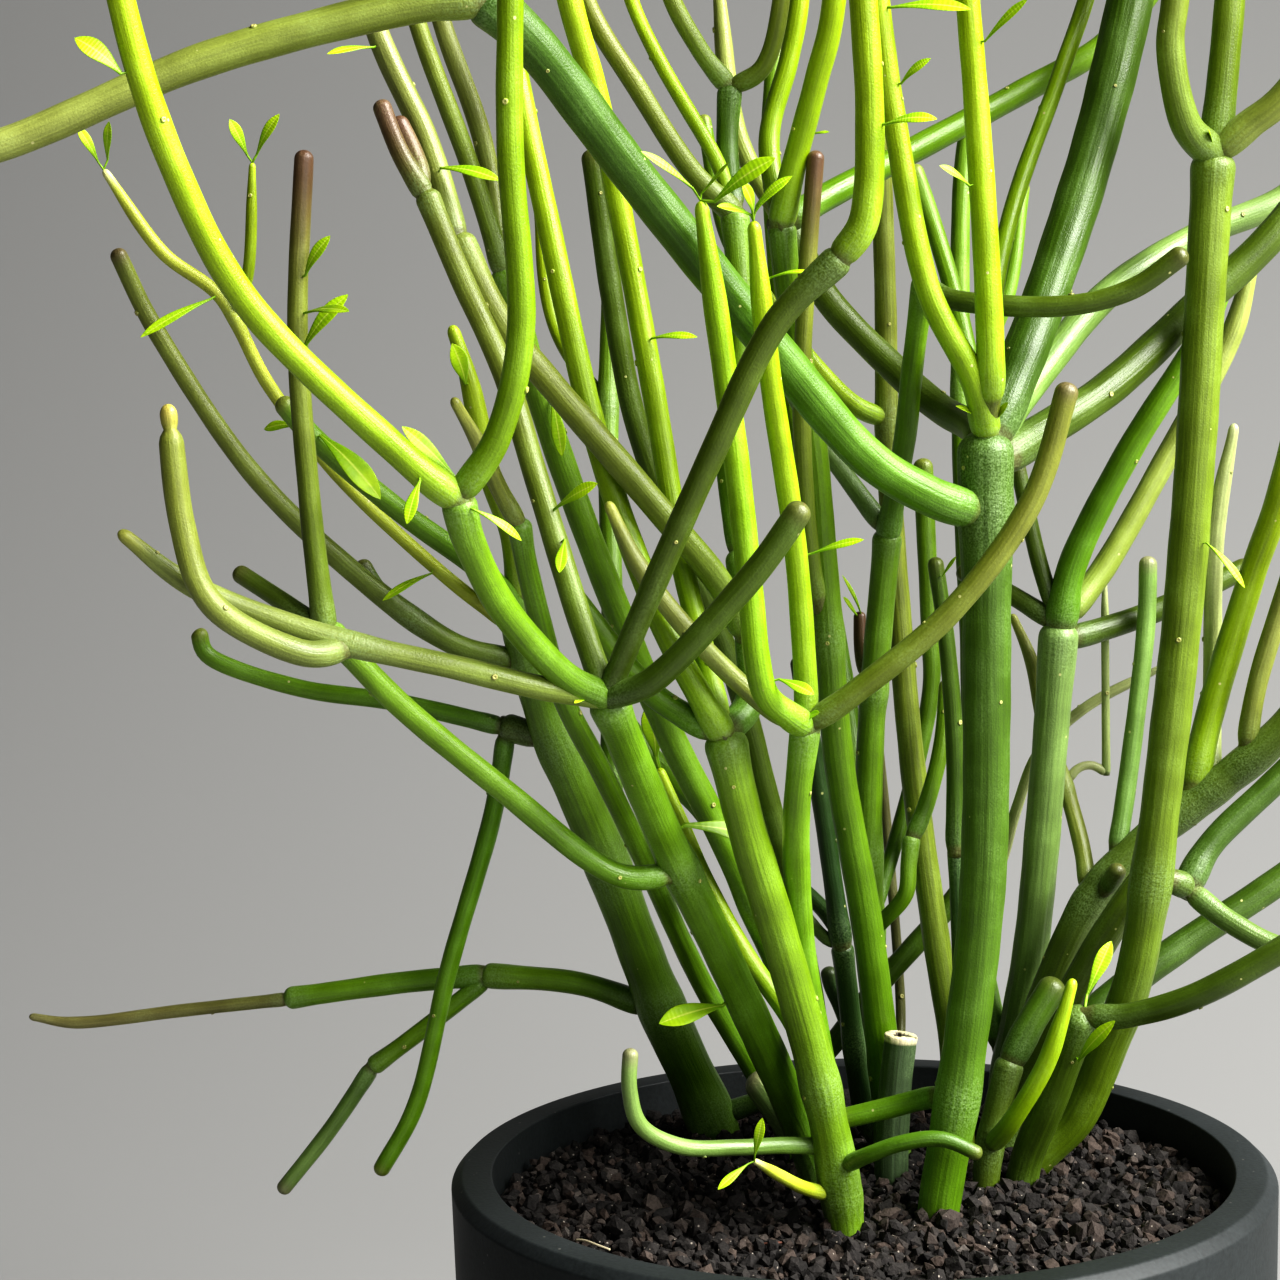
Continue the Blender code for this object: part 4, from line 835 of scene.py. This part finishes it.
# ---- The back left stem ---------------------------------------------------------------------
# The stout trunk behind the left side. Its thin arms hang out over the rim, one of them leans back with
# a side shoot of its own, and a dark one leans in to the right.
grow_stem("stem_back_left", green_skin, [
    ("green", 13.0, 10.0, [(-32, 54, 142), (-34, 53, 172), (-47, 46, 207), (-62, 38, 252), (-74, 32, 285),
     (-81, 28, 315)]),
    ("green", 5.8, 5.0, [(-81, 28, 314), (-89, 20, 325), (-108, 8, 341), (-126, 0, 358),
     (-135, -4, 369)]),
    ("yellow", 3.6, 3.2, [(-80, 28, 308), (-100, 24, 325), (-123, 16, 349), (-139, 10, 372),
     (-149, 6, 393), (-163, 4, 405), (-175, 0, 424)]),
    ("bright", 3.0, 2.6, [(-147, 7, 389), (-142, 3, 400), (-140, 2, 425)]),
    ("olive", 6.0, 4.2, [(-78, 30, 301), (-98, 27, 307), (-122, 23, 326), (-146, 18, 352),
     (-166, 14, 385), (-175, 10, 406)]),
    ("dark", 5.0, 4.8, [(-108, 26, 314), (-116, 29, 320), (-121, 31, 328)]),
    ("dark", 6.4, 6.0, [(-72, 33, 280), (-87, 36, 285)]),
    ("green", 4.8, 4.4, [(-85, 36, 284), (-113, 38, 291), (-138, 40, 295), (-160, 40, 303),
     (-164, 40, 311)]),
    ("green", 5.0, 4.4, [(-85, 36, 285), (-90, 37, 260), (-102, 37, 222), (-111, 36, 188),
     (-122, 36, 168)]),
    ("green", 6.4, 6.0, [(-48, 46, 207), (-69, 50, 214), (-95, 54, 216)]),
    ("green", 6.0, 5.4, [(-94, 54, 216), (-117, 56, 214), (-148, 58, 210)]),
    ("straw", 3.6, 3.2, [(-146, 58, 210), (-176, 60, 207), (-203, 62, 204), (-217, 62, 206)]),
    ("green", 4.6, 4.6, [(-92, 54, 216), (-111, 52, 202), (-125, 52, 192)]),
    ("sage", 4.6, 4.0, [(-124, 52, 193), (-136, 52, 176), (-150, 52, 159)]),
    ("bright", 6.0, 5.2, [(-81, 28, 314), (-82, 24, 333), (-87, 20, 350), (-91, 18, 372),
     (-95, 18, 386)]),
    ("green", 6.4, 5.0, [(-60, 39, 246), (-58, 62, 300), (-58, 84, 360), (-56, 94, 410), (-60, 98, 448)]),
    ("bright", 4.4, 4.0, [(-58, 86, 364), (-72, 96, 388), (-76, 100, 420)]),
    ("deep", 5.6, 5.4, [(-36, 53, 177), (-27, 52, 179), (-15, 48, 185), (-4, 45, 196), (8, 42, 212),
     (27, 42, 233), (38, 42, 248)]),
])

# ---- The leaves ----------------------------------------------------------------------------
# Thin spoon-shaped leaves that stand on the young shoots for a few weeks: a narrow foot, a broad
# upper half with a pale midrib, edges turned up a little, and a slight arch. Each grew as one piece.
LEAF_RINGS = 22
LEAF_SIDES = 16
LEAF_THICKNESS = 0.45 * MM
LEAF_ARCH = 0.07
LEAF_KEEL = 0.16
LEAF_FACING = np.array([0.0, -0.8, 0.6])
LEAF_RIPPLE = 0.03
LEAF_BEND = 0.12
STALK_REACH = 7.0 * MM
STALK_PULL = (1.0, 0.45)                         # how far the first two rings run to the shoot
LEAF_FOOT = paint(120, 162, 20)
LEAF_TOP = paint(174, 208, 24)
LEAF_MOTTLE = paint(112, 164, 22)
LEAF_RIB = paint(208, 222, 102)
shoot_places = np.vstack(shoot_lines)


def leaf_arrays(base, tip, width, bend):
    """A leaf as a closed shell, for u along it and a round it: start + u along + cos a w(u) across
    + (keel |cos a| w(u) + arch sin(pi u) + bend uu + thickness(u) sin a) face, where w(u) is the sine
    of a warped u, so the leaf is widest past its middle. Slow ripples run along its edges, and its
    stalk runs back to the shoot's middle line."""
    start = np.array(base, float) * MM
    along = np.array(tip, float) * MM - start
    length = np.linalg.norm(along)
    ahead = along / length
    face = LEAF_FACING - ahead * (LEAF_FACING @ ahead)
    face /= np.linalg.norm(face)
    across = np.cross(face, ahead)
    u = 0.5 - 0.5 * np.cos(np.pi * np.linspace(0.02, 0.985, LEAF_RINGS - len(STALK_PULL)))
    u = np.append(np.zeros(len(STALK_PULL)), u)
    reach = np.linalg.norm(shoot_places - start, axis=1)
    back = shoot_places[reach.argmin()] - start if reach.min() < STALK_REACH else -0.8 * MM * ahead
    stalk = np.zeros(LEAF_RINGS)
    stalk[:len(STALK_PULL)] = STALK_PULL
    half = 0.5 * width * MM * (0.2 * (1.0 - u) + 0.98 * np.sin(np.pi * u ** 1.7) ** 0.78)
    lift = LEAF_ARCH * length * np.sin(np.pi * u) + bend * length * u ** 2
    thick = 0.5 * LEAF_THICKNESS * (1.3 - u) * (0.1 + 0.9 * step_up(1.0 - u, 0.0, 0.12))
    angle = 2.0 * np.pi * np.arange(LEAF_SIDES) / LEAF_SIDES
    wide = half[:, None] * np.cos(angle)
    high = lift[:, None] + LEAF_KEEL * np.abs(wide) + thick[:, None] * np.sin(angle)
    ripple = LEAF_RIPPLE * half[:, None] * np.cos(angle) ** 2 * np.sin(9.0 * u + 3.0 * bend)[:, None]
    rings = (start + u[:, None, None] * along + wide[:, :, None] * across
             + (high + ripple)[:, :, None] * face + stalk[:, None, None] * back)
    poles = np.array([rings[0].mean(axis=0) - 0.3 * MM * ahead, rings[-1].mean(axis=0) + 0.2 * MM * ahead])
    quads, triangles = tube_faces(LEAF_RINGS, LEAF_SIDES)
    aside, upward = np.meshgrid(np.cos(angle), u)
    place = np.vstack((np.column_stack((aside.ravel(), upward.ravel())), [[0.0, 0.0], [0.0, 1.0]]))
    return np.vstack((rings.reshape(-1, 3), poles)), quads, triangles, place


def leaf_skin():
    """A leaf's skin: yellow-green, greener to the foot, with a paler midrib and faint side veins."""
    skin, tree, shader = new_skin("leaf_skin", 0.42, 0.4)
    split = node(tree, "ShaderNodeSeparateXYZ", {
        0: node(tree, "ShaderNodeAttribute", {}, attribute_name="leaf_place").outputs["Vector"]})
    aside = node(tree, "ShaderNodeMath", {0: split.outputs[0]}, operation="ABSOLUTE").outputs[0]
    place = node(tree, "ShaderNodeTexCoord", {}).outputs["Object"]
    mottle = node(tree, "ShaderNodeTexNoise", {"Vector": place, "Scale": 220.0, "Detail": 3.0}).outputs[0]
    colour = blend(tree, "MIX", spread(tree, split.outputs[1], 0.0, 0.8, 0.0, 1.0),
                   LEAF_FOOT, LEAF_TOP)
    colour = blend(tree, "MIX", spread(tree, mottle, 0.42, 0.66, 0.0, 0.5), colour, LEAF_MOTTLE)
    colour = blend(tree, "MIX", spread(tree, aside, 0.02, 0.14, 0.75, 0.0), colour, LEAF_RIB)
    tree.links.new(colour, shader.inputs["Base Color"])
    vein = node(tree, "ShaderNodeTexWave", {"Vector": split.outputs[1], "Scale": 5.0, "Distortion": 2.0})
    ribs = node(tree, "ShaderNodeBump", {"Height": vein.outputs[1], "Distance": 0.06 * MM, "Strength": 0.4})
    tree.links.new(ribs.outputs[0], shader.inputs["Normal"])
    return skin


yellow_green = leaf_skin()


def add_leaves(name, leaves, nodes):
    """One piece of one or more leaves, in place of the frame's nodes."""
    parts = [leaf_arrays(*leaf) for leaf in leaves]
    piece = add_piece(name, *join_shells(parts), yellow_green)
    places = np.vstack([part[3] for part in parts])
    places = np.column_stack((places, np.zeros(len(places))))
    leaf_place = piece.data.attributes.new("leaf_place", "FLOAT_VECTOR", "POINT")
    leaf_place.data.foreach_set("vector", places.ravel())
    if nodes:
        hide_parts(*nodes)
    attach(piece, "root")


# Each leaf is where it starts, where its tip is, and its width, all in mm. They bend up or down in turn.
LEAVES = [
    ((-141.8, -147.2, 427.3), (-149, -149.5, 434), 4.0),
    ((-176.2, -0.2, 425.8), (-180, -3, 434), 2.4),
    ((-174.0, 0.3, 426.3), (-172, -4, 435), 2.2),
    ((-141.2, 2, 426.8), (-145, 0, 435), 2.8),
    ((-138.8, 2, 427), (-133, 0, 436), 2.8),
    ((-118.6, -76.8, 394), (-113.5, -80, 402), 2.8),
    ((-119.5, -76.6, 379), (-110, -79, 390), 3.6),
    ((-118.2, -76.6, 386.5), (-108, -87, 385), 2.6),
    ((-150.8, 3.6, 393.4), (-167, -3, 383), 2.8),
    ((-131.5, 1.2, 362.5), (-140, 4, 362), 3.0),
    ((-125.5, -3.2, 360), (-111, -10, 346), 5.6),
    ((-91, -60, 417), (-78, -65, 414), 3.0),
    ((-104.6, -58.4, 443), (-114, -65, 440), 2.0),
    ((-86.6, -108.6, 352.2), (-97, -109, 362), 3.2),
    ((-92.5, -119.6, 352), (-95, -124, 344), 2.4),
    ((-83, -114, 346), (-73, -112, 340), 2.0),
    ((-102, 21, 325), (-114, 16, 319), 2.2),
    ((-67.5, -80.5, 344.5), (-58, -85, 349), 3.2),
    ((-65.8, -82.8, 338), (-67, -88, 331), 2.4),
    ((-91.8, 14.6, 371.5), (-94, 8, 381), 4.2),
    ((-69, -40.8, 368), (-67, -45, 355), 3.0),
    ((-46.5, -45.8, 380), (-36.5, -50, 380), 2.0),
    ((-13.2, -65.8, 332.8), (-2, -70, 335), 2.0),
    ((-21.2, -71.6, 306.4), (-14, -75, 303), 2.8),
    ((-47.6, -15.6, 282.9), (-48.5, -20, 296), 5.4),
    ((-41.8, -49.4, 271.8), (-20.5, -40, 266), 5.6),
    ((-33.6, -30, 226), (-48.5, -36, 223.5), 5.0),
    ((-28, -58.4, 198.6), (-26, -60, 208), 2.2),
    ((-29.6, -57.8, 196.5), (-36.5, -62, 192), 2.0),
    ((82.6, -14.6, 330), (91, -19, 320), 2.0),
    ((51.2, -17.2, 207.5), (57, -27, 219), 3.2),
    ((54.2, -12, 222.3), (61, -7, 234), 3.6),
    ((-37.6, -84.4, 409.4), (-49, -89, 416), 2.2),
    ((-33.2, -84.6, 406.6), (-20.5, -89, 414.5), 4.4),
    ((-1, -118, 418), (8, -122, 419), 2.6),
    ((8.5, -55, 433), (14, -59, 438), 2.2),
    ((6.4, -56.4, 449), (23, -61, 447), 3.4),
    ((26.6, -55.4, 441.5), (36, -60, 449), 2.2),
    ((23, -54, 411), (16, -58, 415), 2.2),
    ((-24.4, -79.2, 406), (-17.5, -82, 412), 2.0),
]
for number, (base, tip, width) in enumerate(LEAVES, start=1):
    bend = LEAF_BEND * math.sin(5.0 * number)
    add_leaves(f"leaf_{number:02d}_blade", [(base, tip, width, bend)], [f"leaf_{number:02d}"])

# The smallest leaves are loose trim: thin blades that arch from tips and forks. Each has its own bend.
YOUNG_LEAVES = [
    ((-35.9, -83.6, 408.4), (-28.4, -88, 413), 1.2, 0.3),
    ((-25.6, -78.6, 404.2), (-33, -84, 405.4), 2.4, 0.05),
    ((-25.2, -79, 404.6), (-26.9, -84, 410.4), 2.6, -0.1),
    ((-24.8, -78.8, 404.4), (-19.5, -82, 411.2), 1.5, -0.35),
    ((-21.4, -74.2, 391.4), (-12.6, -78, 392.8), 1.1, -0.12),
    ((-8.4, -22, 426.2), (-4.6, -24, 425.6), 0.9, 0.2),
    ((3.6, 19.4, 311.6), (-2.4, 14, 316.5), 1.8, 0.25),
    ((4.4, 19.2, 311.8), (0.6, 16, 322), 1.0, -0.2),
    ((22.4, 1.2, 322.4), (26.4, -2, 327.4), 1.0, 0.2),
    ((-16, -62, 296.4), (-11.6, -67, 297.6), 2.2, 0.2),
    ((-60.2, -86.2, 306.8), (-64.8, -91, 303.6), 1.6, 0.2),
    ((29.2, -41.2, 359.6), (33.4, -45, 363.6), 1.8, 0.25),
    ((25.8, -42.2, 360.4), (21.6, -47, 364), 1.6, -0.2),
    ((84, -17, 421), (80.6, -22, 424.4), 1.8, 0.2),
    ((-79.6, -99.6, 450.6), (-84, -103, 454.8), 1.6, 0.2),
]
add_leaves("young_leaves", YOUNG_LEAVES, [])

# ---- The grit ------------------------------------------------------------------------------
# The pot is filled to a centimetre below its rim with dark crushed grit, sharp grains of 2 to 4 mm
# that lie loose round the stems. The bed under them is the frame's own solid.
GRIT_MOUND = 3.5 * MM
GRIT_SWELL = 0.7 * MM
GRIT_CLEAR = 1.5 * MM                            # from the pot's inner wall
GRAIN_KINDS = 40
GRAIN_PUSH = (0.7, 1.22)
GRAIN_SHAKE = 0.1
GRAIN_SQUEEZE = (0.62, 1.12)
# How far apart a layer's grains are, their size, how far they are raised, and the share that is kept.
LAYERS = {
    "grit_grains": (3.0 * MM, (1.5 * MM, 2.3 * MM), (-0.4 * MM, 0.7 * MM), 1.0),
    "grit_top_grains": (4.0 * MM, (1.5 * MM, 2.4 * MM), (1.2 * MM, 2.3 * MM), 0.62),
}
GRIT_SEED = 5
poured = np.random.default_rng(GRIT_SEED)


def grain_shapes(count):
    """Sharp crushed grains of about unit size: twelve corners of an icosahedron, each pushed in or
    out and shaken a little, then the whole stretched or squeezed along each axis."""
    ball = bmesh.new()
    bmesh.ops.create_icosphere(ball, subdivisions=1, radius=1.0)
    corners = np.array([vertex.co[:] for vertex in ball.verts])
    faces = np.array([[vertex.index for vertex in face.verts] for face in ball.faces])
    ball.free()
    pushed = corners * poured.uniform(*GRAIN_PUSH, (count, len(corners), 1))
    pushed += poured.normal(0.0, GRAIN_SHAKE, pushed.shape)
    return pushed * poured.uniform(*GRAIN_SQUEEZE, (count, 1, 3)), faces


def bed_height(x, y):
    """The bed's surface: edge + mound (1 - rr / RR), with a low swell across it."""
    share = (x ** 2 + y ** 2) / inner_radius ** 2
    swell = GRIT_SWELL * (np.sin(x / (13.0 * MM)) * np.cos(y / (17.0 * MM) + 1.0))
    return GRIT_EDGE + GRIT_MOUND * (1.0 - share) + swell


def scatter_grains(name, step, sizes, lifts, keep):
    """Grains on a shaken honeycomb: each is turned at random, scaled, and set on the bed."""
    count = int(2.0 * inner_radius / step) + 2
    row, column = np.mgrid[0:int(count * 1.16), 0:count]
    x = (column + 0.5 * (row % 2)).ravel() * step - inner_radius
    y = row.ravel() * step * 0.866 - inner_radius
    x, y = x + poured.normal(0.0, 0.3 * step, x.shape), y + poured.normal(0.0, 0.3 * step, y.shape)
    size = poured.uniform(*sizes, x.shape) * poured.choice((0.75, 1.0, 1.25), x.shape)
    inside = np.hypot(x, y) < inner_radius - GRIT_CLEAR - 0.8 * size
    for foot_x, foot_y, foot_radius in stem_feet:
        inside &= np.hypot(x - foot_x, y - foot_y) > foot_radius + 0.15 * size
    inside &= poured.random(x.shape) < keep
    x, y, size = x[inside], y[inside], size[inside]
    shapes, faces = grain_shapes(GRAIN_KINDS)
    grains = shapes[poured.integers(0, GRAIN_KINDS, len(x))] * size[:, None, None]
    turn = poured.normal(0.0, 1.0, (len(x), 4))
    w, i, j, k = (turn / np.linalg.norm(turn, axis=1, keepdims=True)).T
    matrix = np.array([[1 - 2 * (j * j + k * k), 2 * (i * j - k * w), 2 * (i * k + j * w)],
                       [2 * (i * j + k * w), 1 - 2 * (i * i + k * k), 2 * (j * k - i * w)],
                       [2 * (i * k - j * w), 2 * (j * k + i * w), 1 - 2 * (i * i + j * j)]])
    grains = np.einsum("nvc,rcn->nvr", grains, matrix)
    z = bed_height(x, y) + poured.uniform(*lifts, x.shape)
    points = grains + np.stack((x, y, z), axis=-1)[:, None]
    triangles = (faces[None] + (np.arange(len(x)) * grains.shape[1])[:, None, None]).reshape(-1, 3)
    no_quads = np.empty((0, 4), int)
    piece = add_piece(name, points.reshape(-1, 3), no_quads, triangles, crushed_grit, smooth=False)
    luck = np.repeat(poured.random(len(x)), grains.shape[1])
    piece.data.attributes.new("luck", "FLOAT", "POINT").data.foreach_set("value", luck)
    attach(piece, "root")


def grit_skin(name, by_luck):
    """Dull dark stone: brown-black to grey by the grain's own luck, with a fine rough surface and
    small pale specks that are painted glints.
    """
    skin, tree, shader = new_skin(name, 0.9, 0.25)
    place = node(tree, "ShaderNodeTexCoord", {}).outputs["Object"]
    fine = node(tree, "ShaderNodeTexNoise", {"Vector": place, "Scale": 1500.0, "Detail": 4.0}).outputs[0]
    patch = node(tree, "ShaderNodeTexNoise", {"Vector": place, "Scale": 300.0, "Detail": 2.0}).outputs[0]
    luck = node(tree, "ShaderNodeAttribute", {}, attribute_name="luck").outputs["Fac"] if by_luck else patch
    ramp = node(tree, "ShaderNodeValToRGB", {"Fac": luck})
    ramp.color_ramp.elements[0].color = paint(38, 36, 35)
    ramp.color_ramp.elements[1].color = paint(88, 83, 79)
    middle = ramp.color_ramp.elements.new(0.6)
    middle.color = paint(54, 51, 49)
    reddish = ramp.color_ramp.elements.new(0.94)
    reddish.color = paint(76, 66, 60)
    shade = node(tree, "ShaderNodeMapRange", {"Value": fine, "From Min": 0.3, "From Max": 0.7,
                                              "To Min": 0.7, "To Max": 1.2})
    colour = blend(tree, "MULTIPLY", 1.0, ramp.outputs[0], shade.outputs[0])
    # Painted glints: small pale specks on the grains.
    glint_specks = place_group(tree, specks, Place=place, Cells=420.0, Size=0.12)["Mask"]
    colour = blend(tree, "MIX", glint_specks, colour, paint(150, 142, 132))
    tree.links.new(colour, shader.inputs["Base Color"])
    rough = node(tree, "ShaderNodeBump", {"Height": fine, "Distance": 0.35 * MM, "Strength": 0.8})
    tree.links.new(rough.outputs[0], shader.inputs["Normal"])
    return skin


crushed_grit = grit_skin("crushed_grit", True)
for name, layer in LAYERS.items():
    scatter_grains(name, *layer)
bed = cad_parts["grit_bed"]
bed.data.materials.clear()
bed.data.materials.append(grit_skin("grit_bed_skin", False))

# ---- The dry straws ------------------------------------------------------------------------
# Two bits of dead leaf stalk that fell on the grit at the front and dried there, a cream one towards
# the rim and a brown one by the stems. Each lies loose on the grains, thickest at its middle.
STRAW_RINGS = 24
STRAW_SIDES = 8
STRAWS = [
    (0.7, paint(206, 194, 164), [(-69, -34.5, 172.5), (-67, -36.5, 173), (-64, -40, 173), (-61, -42, 172.5)]),
    (0.6, paint(96, 62, 50), [(-28.5, -44, 173), (-25.5, -45, 174), (-22, -44.5, 174), (-18, -41, 173)]),
]
for number, (girth, colour, points) in enumerate(STRAWS, start=1):
    curve = smooth_route(points)
    places = run_along(curve)[-1] * np.linspace(0.0, 1.0, STRAW_RINGS)
    fullness = 0.75 + 0.25 * np.sin(np.linspace(0.4, 2.9, STRAW_RINGS))
    centre, _, rings = sweep(curve, places, 0.5 * MM * girth * fullness[:, None] * np.ones(STRAW_SIDES))
    quads, triangles = tube_faces(STRAW_RINGS, STRAW_SIDES)
    dry_skin, tree, shader = new_skin(f"dry_straw_{number}", 0.7, 0.3)
    shader.inputs["Base Color"].default_value = colour
    shell = np.vstack((rings.reshape(-1, 3), centre[:1], centre[-1:]))
    straw = add_piece(f"straw_{number}", shell, quads, triangles, dry_skin)
    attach(straw, "root")

# ---- The studio: floor, light and camera ---------------------------------------------------
# A plain pale floor that sweeps up into a wall behind, one big soft light high on the right, a weak
# fill to each side in front, and a long lens level with the plant's middle that looks slightly down.
WALL_DISTANCE = 2.3
WALL_HEIGHT = 3.2
SWEEP_RADIUS = 1.8
FLOOR_HALF_WIDTH = 4.0
FLOOR_FRONT = -3.0
PLANT_MIDDLE = (0.0, 0.0, 0.3)
bend = np.linspace(0.0, 0.5 * np.pi, 48)
profile = np.vstack(([[FLOOR_FRONT, 0.0]],
                     np.column_stack((WALL_DISTANCE - SWEEP_RADIUS + SWEEP_RADIUS * np.sin(bend),
                                      SWEEP_RADIUS * (1.0 - np.cos(bend)))),
                     [[WALL_DISTANCE, WALL_HEIGHT]]))
sides = [np.column_stack((np.full(len(profile), x), profile))
         for x in (-FLOOR_HALF_WIDTH, FLOOR_HALF_WIDTH)]
step = np.arange(len(profile) - 1)
panels = np.column_stack((step, step + len(profile), step + len(profile) + 1, step + 1))
paper, tree, shader = new_skin("pale_paper", 0.9, 0.2)
shader.inputs["Base Color"].default_value = paint(148, 148, 147)
backdrop = add_piece("backdrop", np.vstack(sides), panels, np.empty((0, 3), int), paper)


def soft_light(name, place, width, power, colour):
    """A square area light at a place, turned to face the plant's middle."""
    lamp = bpy.data.lights.new(name, "AREA")
    lamp.shape = "SQUARE"
    lamp.size = width
    lamp.energy = power
    lamp.color = colour
    holder = bpy.data.objects.new(name, lamp)
    bpy.context.scene.collection.objects.link(holder)
    away = np.array(place) - np.array(PLANT_MIDDLE)
    away /= np.linalg.norm(away)
    right = np.cross((0.0, 0.0, 1.0), away)
    right /= np.linalg.norm(right)
    turn = np.column_stack((right, np.cross(away, right), away))
    holder.rotation_euler = Matrix(turn.tolist()).to_euler()
    holder.location = place


soft_light("window", (1.36, -0.62, 1.55), 1.4, 118.0, (1.0, 0.99, 0.97))
soft_light("side_fill", (0.75, -1.5, 0.75), 1.0, 8.0, (1.0, 1.0, 0.97))
soft_light("front_fill", (-0.5, -1.8, 0.9), 1.2, 1.5, (0.95, 0.97, 1.0))
world = bpy.data.worlds.new("room")
bpy.context.scene.world = world
world.use_nodes = True
world.node_tree.nodes["Background"].inputs["Color"].default_value = (0.9, 0.95, 1.0, 1.0)
world.node_tree.nodes["Background"].inputs["Strength"].default_value = 0.02
bpy.context.scene.view_settings.view_transform = "Standard"
bpy.context.scene.view_settings.look = "High Contrast"

LENS = 73.1
SENSOR = 36.0
LOOK_DOWN = math.radians(5.22)
ROLL = math.radians(-1.4)
LENS_PLACE = (-50.7 * MM, -623.6 * MM, 366.0 * MM)
ahead = np.array([0.0, math.cos(LOOK_DOWN), -math.sin(LOOK_DOWN)])
level = np.array([1.0, 0.0, 0.0])
upright = np.cross(level, ahead)
right = level * math.cos(ROLL) + upright * math.sin(ROLL)
above = upright * math.cos(ROLL) - level * math.sin(ROLL)
eye = bpy.data.cameras.new("eye")
eye.lens = LENS
eye.sensor_width = SENSOR
eye.clip_start = 0.01
camera = bpy.data.objects.new("eye", eye)
bpy.context.scene.collection.objects.link(camera)
camera.rotation_euler = Matrix(np.column_stack((right, above, -ahead)).tolist()).to_euler()
camera.location = LENS_PLACE
bpy.context.scene.camera = camera
